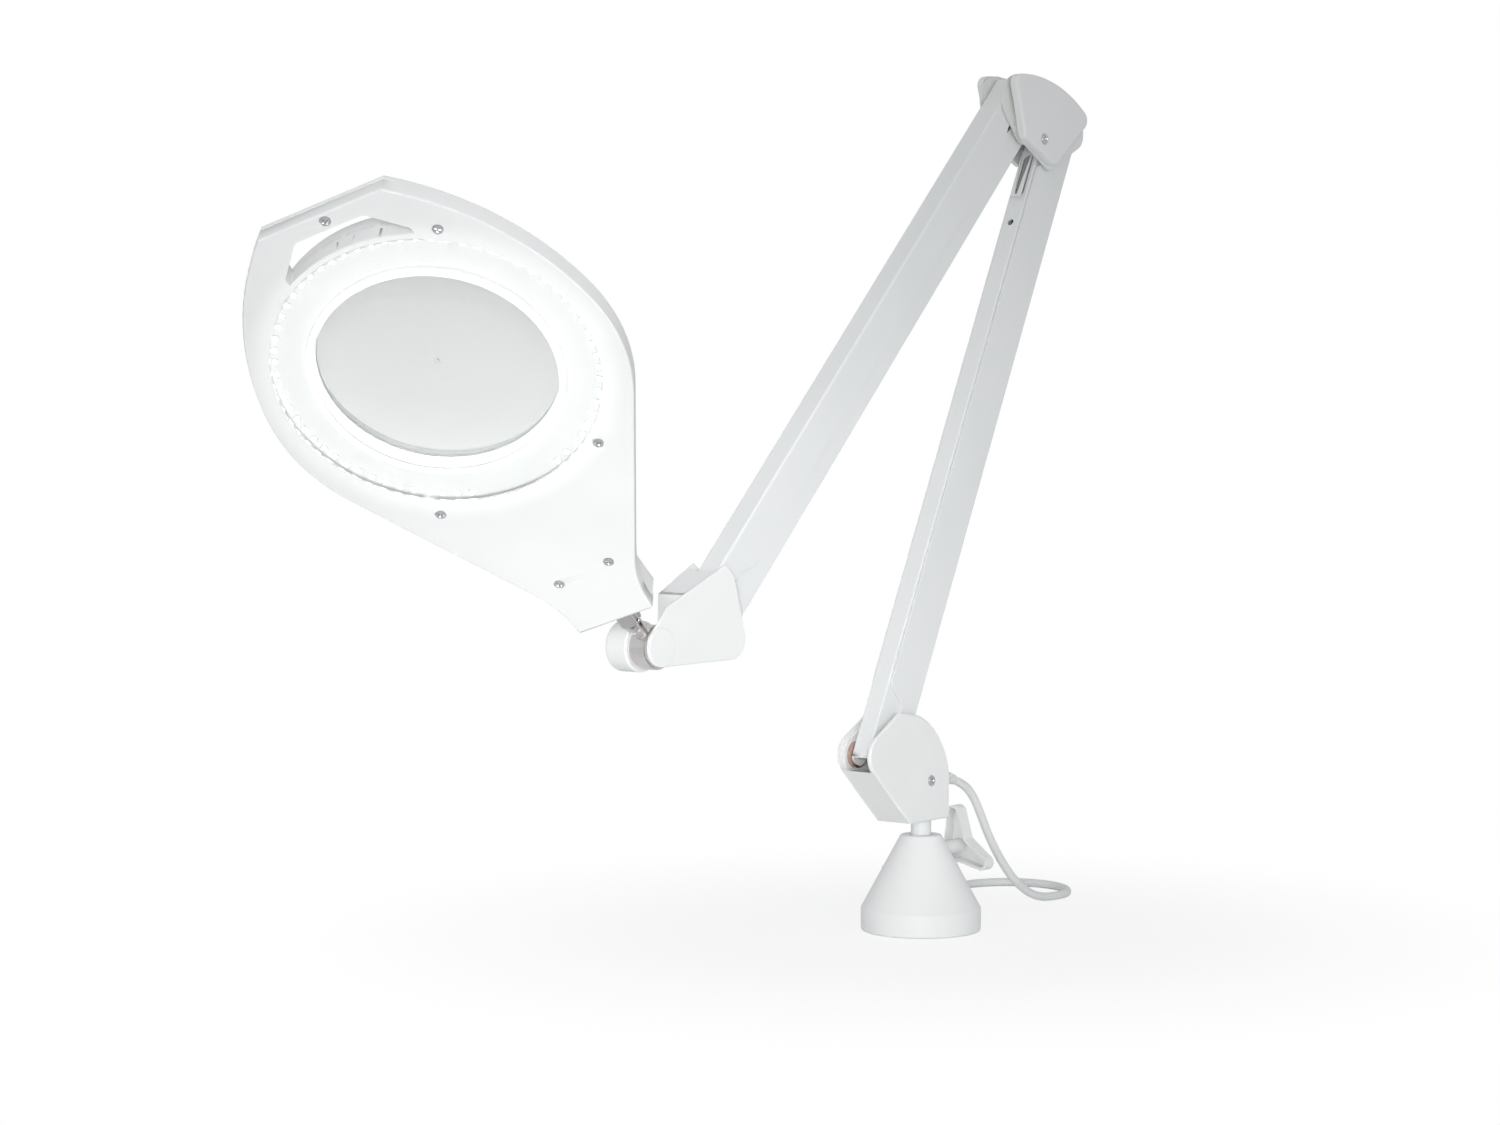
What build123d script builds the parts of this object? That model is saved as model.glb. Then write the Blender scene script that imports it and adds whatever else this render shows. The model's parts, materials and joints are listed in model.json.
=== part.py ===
from build123d import *
import math
import os

# A spring-balanced LED magnifier lamp on a screw-down conical base.
# Millimetres, +Z up.  The origin is the centre of the base, on the surface it is screwed to.
# The arms fold in the XZ plane: -X is the front, where the head is, and +X the back.
# -Y is the near side, which carries the tilt pivot's boss; +Y is the far side.

# ---------------------------------------------------------------- pose the lamp is drawn in
LOWER_LEAN = 25.3        # lower arm, degrees back from upright
UPPER_LEAN = 43.9        # upper arm, degrees forward from hanging straight down
HEAD_PITCH = 44.3        # neck axis, degrees above the horizontal
HEAD_ROLL = 27.5         # head about its neck axis, degrees toward the near side

# ---------------------------------------------------------------- base
BASE_R = 37.5            # outer radius of the cover's band
BAND_H = 14.0            # height of the upright band
CONE_H = 60.0            # height of the cover
CONE_TOP_R = 12.6        # radius of the cover's flat top
COVER_WALL = 2.0
FLANGE_R = 33.0          # screw-down flange inside the cover
FLANGE_T = 5.0
POST_R = 10.5            # post that takes the spigot
SCREW_PCD = 46.0         # circle of the three fixing screws
SCREW_HOLE_R = 2.3
SPIGOT_R = 6.35          # half-inch spigot
SPIGOT_FIT = 0.08        # running clearance of the spigot, on the radius
SOCKET_FLOOR = 8.0       # the spigot's bore stops here

# ---------------------------------------------------------------- clamp knob
KNOB_Z = 48.5            # height of the clamp screw
KNOB_X = 36.0            # knob's underside, from the spigot's axis
KNOB_T = 9.5
LOBE_REACH = 21.5        # centre of a lobe's end
LOBE_TIP_R = 4.6
KNOB_CORE_R = 9.0
KNOB_TURN = 85.0         # direction of the first lobe
STEM_R = 4.6             # knob's stem
CLAMP_SCREW_R = 3.0

# ---------------------------------------------------------------- turret
TURRET_W = 26.0          # housing across the arms
TURRET_Z = 70.0          # underside of the housing
TURRET_BACK = 12.5       # back face
REAR_PIVOT = (-34.0, 114.0)
PIVOT_GAP = 21.0         # between the turret's two pivots, level
SHELL_WALL = 2.0
CORNER_R = 2.5           # rounding of the housing's corners, seen from the side
TURRET_SCREW_AT = (27.4, -19.0)      # cover screw, from the rear pivot
COVER_BEVEL = 0.9

# ---------------------------------------------------------------- arms
ARM_LENGTH = 432.0       # pivot to pivot, both arms
ARM_W = 15.5             # outer channel across
SHEET = 1.2              # channel wall
NEST_GAP = 0.3           # inner channel inside the outer one, each side
OUTER_EDGE = 7.3         # outer pivot to the outer channel's web face
INNER_EDGE = 6.8         # inner pivot to the inner channel's web face
LOWER_DEPTH = 31.5       # lower outer channel's flanges
UPPER_DEPTH = 23.0       # upper outer channel's flanges
INNER_DEPTH = 18.6       # inner channels' flanges
END_R = 7.2              # rounded ends about the pivots
SPRING_R = 4.4
SPRING_BORE_R = 3.2
SPRING_LENGTH = 160.0
SPRING_START = 120.0     # lower end of the spring's coils, along the arm
SPRING_Y = 5.0           # spring's axis, from the outer pivots' line
SPRING_HOOK = 13.0       # straight wire at the spring's lower end
SPRING_REACH = 32.0      # from the coils' upper end to the inner channel's lug
SLIDE = 4.6              # half of the slot that lets the channels shear past the spring
CUT_AT = 24.0            # the outer flanges are cut back this far from each pivot
CUT_RUN = 16.0           # length of the curve up to their full depth
CUT_EDGE = 8.6
ELBOW_SLOT = (30.0, 7.0) # slot in the lower inner channel's web, long and wide
ELBOW_SLOT_AT = 35.0     # its middle, from the elbow's pivot
WEB_HOLE_AT = 69.0
WEB_HOLE_R = 2.2

# ---------------------------------------------------------------- pivots and brackets
PIN_R = 3.0
PIN_FIT = 0.08           # running clearance of a pin, on the radius
OPEN_PIVOT_FIT = 0.4     # clearance of the pins that close each parallelogram
EAR_GAP = 1.2            # bracket ear to the arm's side
EAR_T = 1.6
COVER_GAP = 0.15         # cover to the ear behind it
SCREW_R = 1.4            # cover screws
SCREW_HOLE = 1.6         # and the holes they pass
SCREW_HEAD_R = 3.3
SCREW_SINK = 0.6         # heads sit this deep in their covers
HEAD_CLEARANCE = 0.2     # around a screw's head

# ---------------------------------------------------------------- elbow
TOP_PIVOT_AT = (-58.5, 24.5)         # upper arm's outer pivot, from the lower arm's rear one
BOTTOM_PIVOT_AT = (-51.5, 0.5)       # upper arm's inner pivot, likewise
ELBOW_W = 32.4           # across both side caps
LINER_T = 0.8            # nylon liner between arm and ear
LINER_MARGIN = 16.0
ELBOW_SCREW_AT = (-42.0, -6.4)

# ---------------------------------------------------------------- wrist and tilt joint
WRIST_W = 26.0           # housing across the arms
TILT_AT = (-51.0, -26.2)             # tilt axis, from the upper arm's outer pivot
BOSS_R = 11.0
BOSS_Y = -14.0           # near face of the boss
NOSE_T = 2.4             # near cheek of the nose
DRUM_R = 11.2            # friction drum
DRUM_FIT = 0.1
STRAP_T = 1.3
STRAP_W = 10.6
TILT_KNOB_R = 14.5
TILT_KNOB_T = 12.0
SPINDLE_R = 4.0
TILT_PLATE_T = 1.0
STRAP_END = 31.0         # end of the strap's two legs, from the tilt axis
STRAP_SPREAD = 1.1       # half the gap between the strap's legs
STRAP_SCREW_U = 18.0
STEM_START = 23.0        # the stem's clamp, from the tilt axis
STEM_CLAMP_R = 6.6
STEM_SHAFT_R = 5.0
BUSH_R = 8.0

# ---------------------------------------------------------------- head
NECK_TO_LENS = 228.0     # tilt axis to the lens centre, along the neck
NECK_RISE = 15.0         # neck axis above the head's underside
TIP_U = 111.5            # straight tip edge, from the lens centre
TIP_HALF = 36.0
HEAD_R = 98.0            # round part of the outline
HEAD_R_U = -8.0          # its centre
FLANK_SLOPE = 28.6       # degrees between the straight flanks and the centre line
NECK_HALF = 23.0
NECK_END_U = -190.0
NAPE_R = 70.0            # blends the flanks into the neck
HEAD_T = 13.0            # thickness at the edge
HEAD_SPLIT = 8.5         # height of the parting line
HEAD_WALL = 2.2
LENS_R = 64.3
LENS_EDGE_T = 3.2
LENS_DOME = 4.8          # bulge of each face
LENS_Z = 12.0            # middle of the lens
RING_R = 74.0            # raised ring around the lens, on top
RING_TOP = 23.0
HUMP_TOP = 27.0          # neck hump
HUMP_FRONT = -92.0
LED_COVER_R = 85.5
LED_R = 83.5
LED_COUNT = 62
LED_PITCH = 5.3          # degrees
LED_SIZE = 3.0
SLOT_INNER_R = 91.0      # hand slot, its side toward the lens
SLOT_OUTER_U = 102.0
SLOT_HALF = 33.0
HEAD_SCREWS = [(106, 2), (78, -46), (-76, -50.5), (-83, 51), (-152, -18), (-154, 18)]
BOARD_Z = 5.6            # top of the LEDs, inside the clear ring
SWITCH_U = -128.0
SWITCH_L = 19.4
SWITCH_W = 12.4
ROCKER_Z = HUMP_TOP + 0.6
LID_T = 2.6
LID_GAP = 0.4
HINGE_U = -79.5
HINGE_Z = RING_TOP + LID_GAP + 1.6
HINGE_PIN_R = 1.2

# ---------------------------------------------------------------- mains cord
CORD_R = 2.75
GLAND_Z = 98.0
GLAND_DROP = 18.0        # degrees the cord leaves downward
RELIEF_LENGTH = 22.0
RELIEF_R = 4.4
CORD_SPLIT_Z = 80.0      # below this the cord stays with the base
HANK_DIR = (0.8, 0.6)    # the hank lies behind the base, along this line
HANK_START = 41.0        # its near end, from the spigot's axis
HANK_FOLD = 16.5         # radius of its inner turns' folds: three diameters
HANK_RUN = 65.0          # straight runs between the folds
HANK_COLUMNS = 2
HANK_LAYERS = 3
TIE_AT = 0.78            # share of the hank's length
TIE_W = 8.0
TIE_T = 1.0
PLUG_L = 38.0
PLUG_W = 26.0
PLUG_H = 13.0
PLUG_AT = 20.0           # its front face, from the hank's near end
PLUG_PIN_L = 19.0
PLUG_TAIL = 26.0         # sloping bend relief down to the hank

NEAR = Vector(0, -1, 0)
HALF_ARM = ARM_W / 2
EAR_IN = HALF_ARM + EAR_GAP
EAR_OUT = EAR_IN + EAR_T
COVER_IN = EAR_OUT + COVER_GAP
INNER_W = ARM_W - 2 * SHEET - 2 * NEST_GAP
NECK_FACE = NECK_TO_LENS + NECK_END_U        # the neck's end, from the tilt axis


def polar(length, degrees):
    return length * math.cos(math.radians(degrees)), length * math.sin(math.radians(degrees))


def side_plane(x, z, y=0.0):
    """Plane seen from the near side: local X is +X, local Y is +Z, its normal is -Y."""
    return Plane(origin=(x, y, z), x_dir=(1, 0, 0), z_dir=NEAR)


LOWER_DIR = Vector(math.sin(math.radians(LOWER_LEAN)), 0, math.cos(math.radians(LOWER_LEAN)))
UPPER_DIR = Vector(-math.sin(math.radians(UPPER_LEAN)), 0, -math.cos(math.radians(UPPER_LEAN)))
TURRET_REAR = Vector(REAR_PIVOT[0], 0, REAR_PIVOT[1])
TURRET_FRONT = TURRET_REAR - Vector(PIVOT_GAP, 0, 0)
ELBOW_REAR = TURRET_REAR + LOWER_DIR * ARM_LENGTH
ELBOW_FRONT = TURRET_FRONT + LOWER_DIR * ARM_LENGTH
ELBOW_TOP = ELBOW_REAR + Vector(TOP_PIVOT_AT[0], 0, TOP_PIVOT_AT[1])
ELBOW_BOTTOM = ELBOW_REAR + Vector(BOTTOM_PIVOT_AT[0], 0, BOTTOM_PIVOT_AT[1])
WRIST_TOP = ELBOW_TOP + UPPER_DIR * ARM_LENGTH
WRIST_BOTTOM = ELBOW_BOTTOM + UPPER_DIR * ARM_LENGTH
TILT = WRIST_TOP + Vector(TILT_AT[0], 0, TILT_AT[1])

TURRET_SCREW = TURRET_REAR + Vector(TURRET_SCREW_AT[0], 0, TURRET_SCREW_AT[1])

ELBOW_SCREW = ELBOW_REAR + Vector(ELBOW_SCREW_AT[0], 0, ELBOW_SCREW_AT[1])
drop = math.radians(GLAND_DROP)
GLAND = Plane(origin=(TURRET_BACK, 0, GLAND_Z), z_dir=(math.cos(drop), 0, -math.sin(drop)))

# The arms' own planes: local X runs along the arm from its first pivot, local Y points
# from the outer channel's pivots to the inner channel's, and the normal is -Y.
LOWER_OUTER = Plane(origin=TURRET_REAR, x_dir=LOWER_DIR, z_dir=NEAR)
LOWER_INNER = Plane(origin=TURRET_FRONT, x_dir=LOWER_DIR, z_dir=NEAR)
UPPER_OUTER = Plane(origin=ELBOW_TOP, x_dir=UPPER_DIR, z_dir=NEAR)
UPPER_INNER = Plane(origin=ELBOW_BOTTOM, x_dir=UPPER_DIR, z_dir=NEAR)

# The neck and the head.  In the head's plane local X runs along the neck axis to the tip,
# local Z is the head's top side, and the origin is the lens centre on the flat underside.
DRUM_Y = -EAR_OUT + 0.35 + STRAP_W / 2       # middle of the strap
DRUM_FAR = DRUM_Y + STRAP_W / 2
pitch = math.radians(HEAD_PITCH)
roll = math.radians(HEAD_ROLL)
NECK_DIR = Vector(-math.cos(pitch), 0, math.sin(pitch))
LEVEL_DOWN = Vector(-math.sin(pitch), 0, -math.cos(pitch))
UNDERSIDE = LEVEL_DOWN * math.cos(roll) + NEAR * math.sin(roll)
NECK_AXIS_AT = TILT + Vector(0, DRUM_Y, 0)
NECK = Plane(origin=NECK_AXIS_AT, x_dir=NECK_DIR, z_dir=NEAR)
LENS_CENTRE = NECK_AXIS_AT + NECK_DIR * NECK_TO_LENS + UNDERSIDE * NECK_RISE
HEAD = Plane(origin=LENS_CENTRE, x_dir=NECK_DIR, z_dir=UNDERSIDE * -1)


# ================================================================ helpers
def slab(face, y_low, y_high):
    """A face drawn in X and Z, made solid between two values of Y."""
    return extrude(side_plane(0, 0, y_high) * face, y_high - y_low, dir=NEAR)


def cross_pin(at, radius, y_low, y_high):
    """A round bar along Y through a point of the arm plane."""
    return slab(Pos(at.X, at.Z) * Circle(radius), y_low, y_high)


def both_sides(face, inner, outer):
    """The same plate on the near and on the far side."""
    return slab(face, -outer, -inner) + slab(face, inner, outer)


def closed(*curves):
    """The face inside a closed run of curves."""
    return make_face(Curve() + list(curves))


def ring(r_in, r_out, z_low, z_high):
    return Pos(0, 0, z_low) * extrude(Circle(r_out) - Circle(r_in), z_high - z_low)


def disc(radius, z_low, z_high):
    return Pos(0, 0, z_low) * extrude(Circle(radius), z_high - z_low)


def screw_head(radius, height):
    """A pan head with a cross recess, its seat at Z 0 and its top toward +Z."""
    head = extrude(Circle(radius), height)
    head = fillet(head.edges().group_by(Axis.Z)[-1], height * 0.45)
    cross = Rectangle(radius * 1.2, radius * 0.26) + Rectangle(radius * 0.26, radius * 1.2)
    return head - Pos(0, 0, height * 0.5) * extrude(cross, height)


def cover_screw_hole(at, half):
    """Hole and shallow recess for a screw in a near side cover whose face is at -half."""
    recess = cross_pin(at, SCREW_HEAD_R + HEAD_CLEARANCE, -half - 1, -half + SCREW_SINK)
    return recess + cross_pin(at, SCREW_HOLE, -half - 1, 0)


def cover_screws(at, half, reach):
    """A pan-head screw on each side, seated in the covers' recesses."""
    near = side_plane(at.X, at.Z, -half + SCREW_SINK) * screw_head(SCREW_HEAD_R, 1.3)
    shank = cross_pin(at, SCREW_R, -half + SCREW_SINK, -reach)
    return near + shank + mirror(near + shank, Plane.XZ)


# ================================================================ base
def base_socket():
    """Flange, post and bore for the spigot, with three screw holes and the clamp's thread."""
    body = disc(FLANGE_R, 0, FLANGE_T) + disc(POST_R, 0, CONE_H - COVER_WALL)
    body -= disc(SPIGOT_R + SPIGOT_FIT, SOCKET_FLOOR, CONE_H)
    for hole in PolarLocations(SCREW_PCD / 2, 3):
        body -= hole * extrude(Circle(SCREW_HOLE_R), FLANGE_T)
    thread = Plane(origin=(0, 0, KNOB_Z), z_dir=(1, 0, 0)) * Circle(CLAMP_SCREW_R)
    return body - extrude(thread, POST_R + 1)


def cone_cover():
    """Thin cover over the socket: an upright band, then a cone with a flat top."""
    outer = Plane.XZ * closed(Polyline(
        (0, 0), (BASE_R, 0), (BASE_R, BAND_H), (CONE_TOP_R, CONE_H), (0, CONE_H), close=True))
    body = revolve(outer, Axis.Z)
    rim = body.edges().filter_by(GeomType.CIRCLE)
    body = fillet([rim.sort_by(Axis.Z)[0], rim.sort_by(Axis.Z)[-1]], 1.6)
    slope = (BASE_R - CONE_TOP_R) / (CONE_H - BAND_H)
    top_r = CONE_TOP_R - COVER_WALL + COVER_WALL * slope
    inner = Plane.XZ * closed(Polyline(
        (0, 0), (BASE_R - COVER_WALL, 0), (BASE_R - COVER_WALL, BAND_H - 0.6),
        (top_r, CONE_H - COVER_WALL), (0, CONE_H - COVER_WALL), close=True))
    body -= revolve(inner, Axis.Z)
    body -= disc(SPIGOT_R + 0.5, CONE_H - 2 * COVER_WALL, CONE_H + 1)
    side = Plane(origin=(POST_R, 0, KNOB_Z), z_dir=(1, 0, 0)) * Circle(STEM_R + 0.5)
    return body - extrude(side, BASE_R)


def knob_outline(shrink):
    """Three lobes with hollow flanks between them."""
    tips = [polar(LOBE_REACH, KNOB_TURN + 120 * lobe) for lobe in range(3)]
    outline = Circle(KNOB_CORE_R - shrink)
    for tip_x, tip_y in tips:
        arm = make_hull((Circle(KNOB_CORE_R - shrink).edges()
                         + (Pos(tip_x, tip_y) * Circle(LOBE_TIP_R - shrink)).edges()))
        outline += arm
    return outline


def clamp_knob():
    """Three-lobed knob with a rimmed hollow underside and a stem with a screw."""
    at = Plane(origin=(KNOB_X, 0, KNOB_Z), x_dir=(0, 1, 0), z_dir=(1, 0, 0))
    body = extrude(knob_outline(0), KNOB_T)
    body = fillet(body.edges().group_by(Axis.Z)[-1], 1.8)
    body -= extrude(knob_outline(1.9), KNOB_T - 3.0)
    stem_root = POST_R + 9.5
    body += Pos(0, 0, stem_root - KNOB_X) * extrude(Circle(STEM_R), KNOB_X - stem_root + KNOB_T - 2)
    screw_end = SPIGOT_R + 0.6
    body += Pos(0, 0, screw_end - KNOB_X) * extrude(Circle(CLAMP_SCREW_R - 0.1), stem_root - screw_end)
    return at * body


# ================================================================ turret
def turret_outline():
    """Side view of the turret's housing: a round back, a sloping front and a level foot."""
    back, foot = TURRET_BACK, TURRET_Z
    front = Vector(TURRET_FRONT.X, TURRET_FRONT.Z)
    nose = 13.5
    low = front + Vector(*polar(nose, 217))
    left = front + Vector(*polar(nose, 170))
    high = front + Vector(*polar(nose, 112))
    top = front.Y + 25.5
    face = closed(
        Line((back, foot), (back, foot + 29)),
        ThreePointArc((back, foot + 29), (back - 11, foot + 52), (back - 32, top - 3)),
        Line((back - 32, top - 3), (front.X + 17, top)),
        Line((front.X + 17, top), high),
        ThreePointArc(high, left, low),
        ThreePointArc(low, (front.X + 4.5, foot + 21), (front.X + 27, foot)),
        Line((front.X + 27, foot), (back, foot)))
    return fillet(face.vertices(), CORNER_R)


def turret_opening():
    """What the arms sweep through, at the top and front of the housing."""
    front = Vector(TURRET_FRONT.X, TURRET_FRONT.Z)
    return closed(Polyline(
        (front.X - 30, front.Y - 9.5), (front.X - 3, front.Y - 9.5), (front.X + 4, front.Y - 18),
        (TURRET_REAR.X + 14, front.Y - 18), (TURRET_REAR.X + 30, front.Y + 12),
        (TURRET_REAR.X + 34, front.Y + 60), (front.X - 30, front.Y + 60), close=True))


def turret_cover(side):
    """Half shell: the side plate and half of the closed rim.  side is -1 near, +1 far."""
    half = TURRET_W / 2
    outline = turret_outline()
    shell = slab(outline, -half, 0)
    shell = chamfer(shell.faces().sort_by(Axis.Y)[0].edges(), 0.9)
    shell -= slab(offset(outline, -SHELL_WALL), -COVER_IN, 1)
    shell -= slab(turret_opening(), -COVER_IN, 1)
    spigot_hole = disc(SPIGOT_R + 0.4, TURRET_Z - 5, TURRET_Z + 10)
    shell = shell - spigot_hole - GLAND * extrude(Circle(RELIEF_R), 8, both=True)
    shell -= cover_screw_hole(TURRET_SCREW, half)
    if side > 0:
        shell = mirror(shell, Plane.XZ)
    return shell


def turret_bracket():
    """Steel fork on the spigot: two ears, a floor and the tube that turns in the base."""
    ear = offset(turret_outline(), -SHELL_WALL - 0.6)
    ear -= Pos(0, TURRET_Z - 20) * Rectangle(200, 2 * (20 + SHELL_WALL + 0.4), align=(Align.CENTER, Align.CENTER))
    body = both_sides(ear, EAR_IN, EAR_OUT)
    floor_z = TURRET_Z + SHELL_WALL + 0.4
    floor = Pos(-8, 0, floor_z + 1.5) * Box(34, 2 * EAR_OUT, 3)
    body = body + floor + disc(SPIGOT_R, SOCKET_FLOOR + 1, floor_z + 3)
    for pivot in (TURRET_REAR, TURRET_FRONT):
        body -= cross_pin(pivot, PIN_R, -TURRET_W, TURRET_W)
    return body - cross_pin(TURRET_SCREW, SCREW_R, -TURRET_W, TURRET_W)


def turret_screws():
    """One screw from each side; they share a tapped spacer between the ears."""
    spacer = cross_pin(TURRET_SCREW, 3.6, -EAR_IN, EAR_IN)
    return spacer + cover_screws(TURRET_SCREW, TURRET_W / 2, EAR_IN)


def cord_gland():
    """Tapered strain relief, seated through the back of the housing."""
    inside = SHELL_WALL + 5.2
    collar = Pos(0, 0, -inside) * extrude(Circle(RELIEF_R + 1.2), 1.4)
    seat = Pos(0, 0, -inside) * extrude(Circle(RELIEF_R - 0.04), inside)
    taper = loft([Circle(RELIEF_R - 0.04), Pos(0, 0, RELIEF_LENGTH) * Circle(CORD_R + 0.5)])
    bore = Pos(0, 0, -inside) * extrude(Circle(CORD_R), inside + RELIEF_LENGTH - 6)
    return GLAND * (collar + seat + taper - bore)


# ================================================================ arms
def outer_outline(depth):
    """Side view of an outer channel, cut back at both ends around the inner pivots."""
    edge = depth - OUTER_EDGE
    end = OUTER_EDGE
    far = ARM_LENGTH
    return closed(
        ThreePointArc((0, -end), (-end, 0), (0, end)),
        Line((0, end), (CUT_AT, CUT_EDGE)),
        Spline((CUT_AT, CUT_EDGE), (CUT_AT + CUT_RUN, edge), tangents=[(1, 0), (1, 0)]),
        Line((CUT_AT + CUT_RUN, edge), (far - CUT_AT - CUT_RUN, edge)),
        Spline((far - CUT_AT - CUT_RUN, edge), (far - CUT_AT, CUT_EDGE), tangents=[(1, 0), (1, 0)]),
        Line((far - CUT_AT, CUT_EDGE), (far, end)),
        ThreePointArc((far, end), (far + end, 0), (far, -end)),
        Line((far, -end), (0, -end)))


def inner_outline():
    """Side view of an inner channel, its web toward +Y of its own plane."""
    edge = INNER_DEPTH - INNER_EDGE
    end = INNER_EDGE
    far = ARM_LENGTH
    return closed(
        ThreePointArc((0, end), (-end, 0), (0, -end)),
        Line((0, -end), (CUT_AT, -edge)),
        Line((CUT_AT, -edge), (far - CUT_AT, -edge)),
        Line((far - CUT_AT, -edge), (far, -end)),
        ThreePointArc((far, -end), (far + end, 0), (far, end)),
        Line((far, end), (0, end)))


def channel(outline, width, web, corner):
    """A folded channel: side outline and rounded section together, hollowed from the open side."""
    depth, inward = 60, -math.copysign(1, web)
    section = Pos(web + inward * depth / 2, 0) * Rectangle(depth, width)
    section = fillet(section.vertices().group_by(Axis.X)[0 if web < 0 else -1], corner)
    bar = Plane(origin=(-20, 0, 0), x_dir=(0, 1, 0), z_dir=(1, 0, 0)) * section
    body = extrude(outline, width / 2, both=True) & extrude(bar, ARM_LENGTH + 40)
    hollow = Box(ARM_LENGTH + 40, depth, width - 2 * SHEET)
    return body - Pos(ARM_LENGTH / 2, web + inward * (SHEET + depth / 2), 0) * hollow


def outer_channel(depth):
    body = channel(outer_outline(depth), ARM_W, -OUTER_EDGE, SHEET + 0.3)
    for pivot in (0, ARM_LENGTH):
        body -= Pos(pivot, 0, 0) * Cylinder(PIN_R + PIN_FIT, ARM_W + 2)
    body += spring_tab(SPRING_START - 8, -OUTER_EDGE + SHEET / 2)
    return body


def inner_channel(spread, lag):
    """spread and lag: how far the inner channel lies below and ahead of the outer one."""
    body = channel(inner_outline(), INNER_W, INNER_EDGE, SHEET - 0.2)
    body -= Cylinder(PIN_R + PIN_FIT, ARM_W + 2)
    body -= Pos(ARM_LENGTH, 0, 0) * Cylinder(PIN_R + OPEN_PIVOT_FIT, ARM_W + 2)
    at = SPRING_START + SPRING_LENGTH + SPRING_REACH - lag
    slot_y = SPRING_Y - spread
    lug_end = slot_y - SLIDE - 1.4
    lug = Pos(at, (lug_end + INNER_EDGE - SHEET / 2) / 2, 0) * Box(1.6, INNER_EDGE - SHEET / 2 - lug_end, 7)
    slot = Pos(at, slot_y, 0) * Box(4, 2 * SLIDE, 2.8)
    return body + (lug - slot)


def elbow_relief(body):
    """Slot and hole in the lower inner channel's web, just under the elbow."""
    through = Pos(ARM_LENGTH, INNER_EDGE, 0) * Rot(90, 0, 0)
    body -= through * Pos(-ELBOW_SLOT_AT, 0, 0) * extrude(SlotOverall(*ELBOW_SLOT), 2 * SHEET, both=True)
    return body - through * Pos(-WEB_HOLE_AT, 0, 0) * extrude(Circle(WEB_HOLE_R), 2 * SHEET, both=True)


def spring_tab(at, web_y):
    """A lug folded up from the web to hold the spring's hook."""
    reach = SPRING_Y + 3 - web_y
    lug = Pos(at, web_y + reach / 2, 0) * Box(1.6, reach, 7)
    return lug - Pos(at, SPRING_Y, 0) * Rot(0, 90, 0) * Cylinder(1.3, 4)


def arm_spring():
    """Close-wound tension spring as a tube, with a straight hook wire at each end."""
    body = disc(SPRING_R, 0, SPRING_LENGTH) - disc(SPRING_BORE_R, 2, SPRING_LENGTH - 2)
    wire = disc(0.9, -SPRING_HOOK, SPRING_LENGTH + SPRING_REACH + 4)
    return Pos(SPRING_START, SPRING_Y, 0) * Rot(0, 90, 0) * (body + wire)


# ================================================================ elbow
def at_elbow(x, z):
    return ELBOW_REAR + Vector(x, 0, z)


def hull_of(circles):
    """The plate that wraps circles given as (x, z, radius)."""
    edges = ShapeList()
    for x, z, radius in circles:
        edges += (Pos(x, z) * Circle(radius)).edges()
    return make_hull(edges)


def elbow_cap_outline():
    """A D: a long arc over the top and back, two straight edges and a hollow front edge."""
    outline = closed(
        ThreePointArc((-74.5, 32.5), (-34, 31.5), (12, 9)),
        Line((12, 9), (-28, -23)),
        Line((-28, -23), (-62.5, -7)),
        ThreePointArc((-62.5, -7), (-67.8, 12), (-74.5, 32.5)))
    by_x = outline.vertices().sort_by(Axis.X)
    outline = fillet([by_x[-1]], 6.5)
    outline = fillet([outline.vertices().sort_by(Axis.Y)[0]], 6)
    return Pos(ELBOW_REAR.X, ELBOW_REAR.Z) * outline


def elbow_cap():
    """Near side cap: a domed plate with a skirt that closes on the ear."""
    half = ELBOW_W / 2
    outline = elbow_cap_outline()
    body = slab(outline, -half, -COVER_IN)
    body = fillet(body.faces().sort_by(Axis.Y)[0].edges(), 2.2)
    body -= slab(offset(outline, -SHELL_WALL), -half + SHELL_WALL, -COVER_IN + 1)
    body += cross_pin(ELBOW_SCREW, 4.2, -half + 1, -COVER_IN)
    return body - cover_screw_hole(ELBOW_SCREW, half)


def elbow_bracket():
    """Steel fork: two ears around all four pivots, joined by a block above the arms."""
    top_x, top_z = TOP_PIVOT_AT
    low_x, low_z = BOTTOM_PIVOT_AT
    ear = Pos(ELBOW_REAR.X, ELBOW_REAR.Z) * hull_of(
        [(0, 0, 10.3), (top_x, top_z, 9.4), (low_x, low_z, 11), (-28, -19, 6)])
    body = both_sides(ear, EAR_IN, EAR_OUT)
    block = at_elbow(-34, 15.5)
    body += Pos(block.X, 0, block.Z) * Box(17, 2 * EAR_OUT, 8)
    for pivot in (ELBOW_REAR, ELBOW_FRONT, ELBOW_TOP, ELBOW_BOTTOM):
        body -= cross_pin(pivot, PIN_R, -ELBOW_W, ELBOW_W)
    return body - cross_pin(ELBOW_SCREW, SCREW_R, -ELBOW_W, ELBOW_W)


def elbow_liner():
    """Nylon sheet on each ear, between it and the upper arm."""
    top_x, top_z = TOP_PIVOT_AT
    low_x, low_z = BOTTOM_PIVOT_AT
    sheet = Pos(ELBOW_REAR.X, ELBOW_REAR.Z) * hull_of(
        [(top_x - 4, top_z - 7, LINER_MARGIN), (low_x - 2, low_z + 2, LINER_MARGIN - 3)])
    body = both_sides(sheet, EAR_IN - LINER_T, EAR_IN)
    for pivot in (ELBOW_TOP, ELBOW_BOTTOM):
        body -= cross_pin(pivot, PIN_R, -ELBOW_W, ELBOW_W)
    return body


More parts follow.
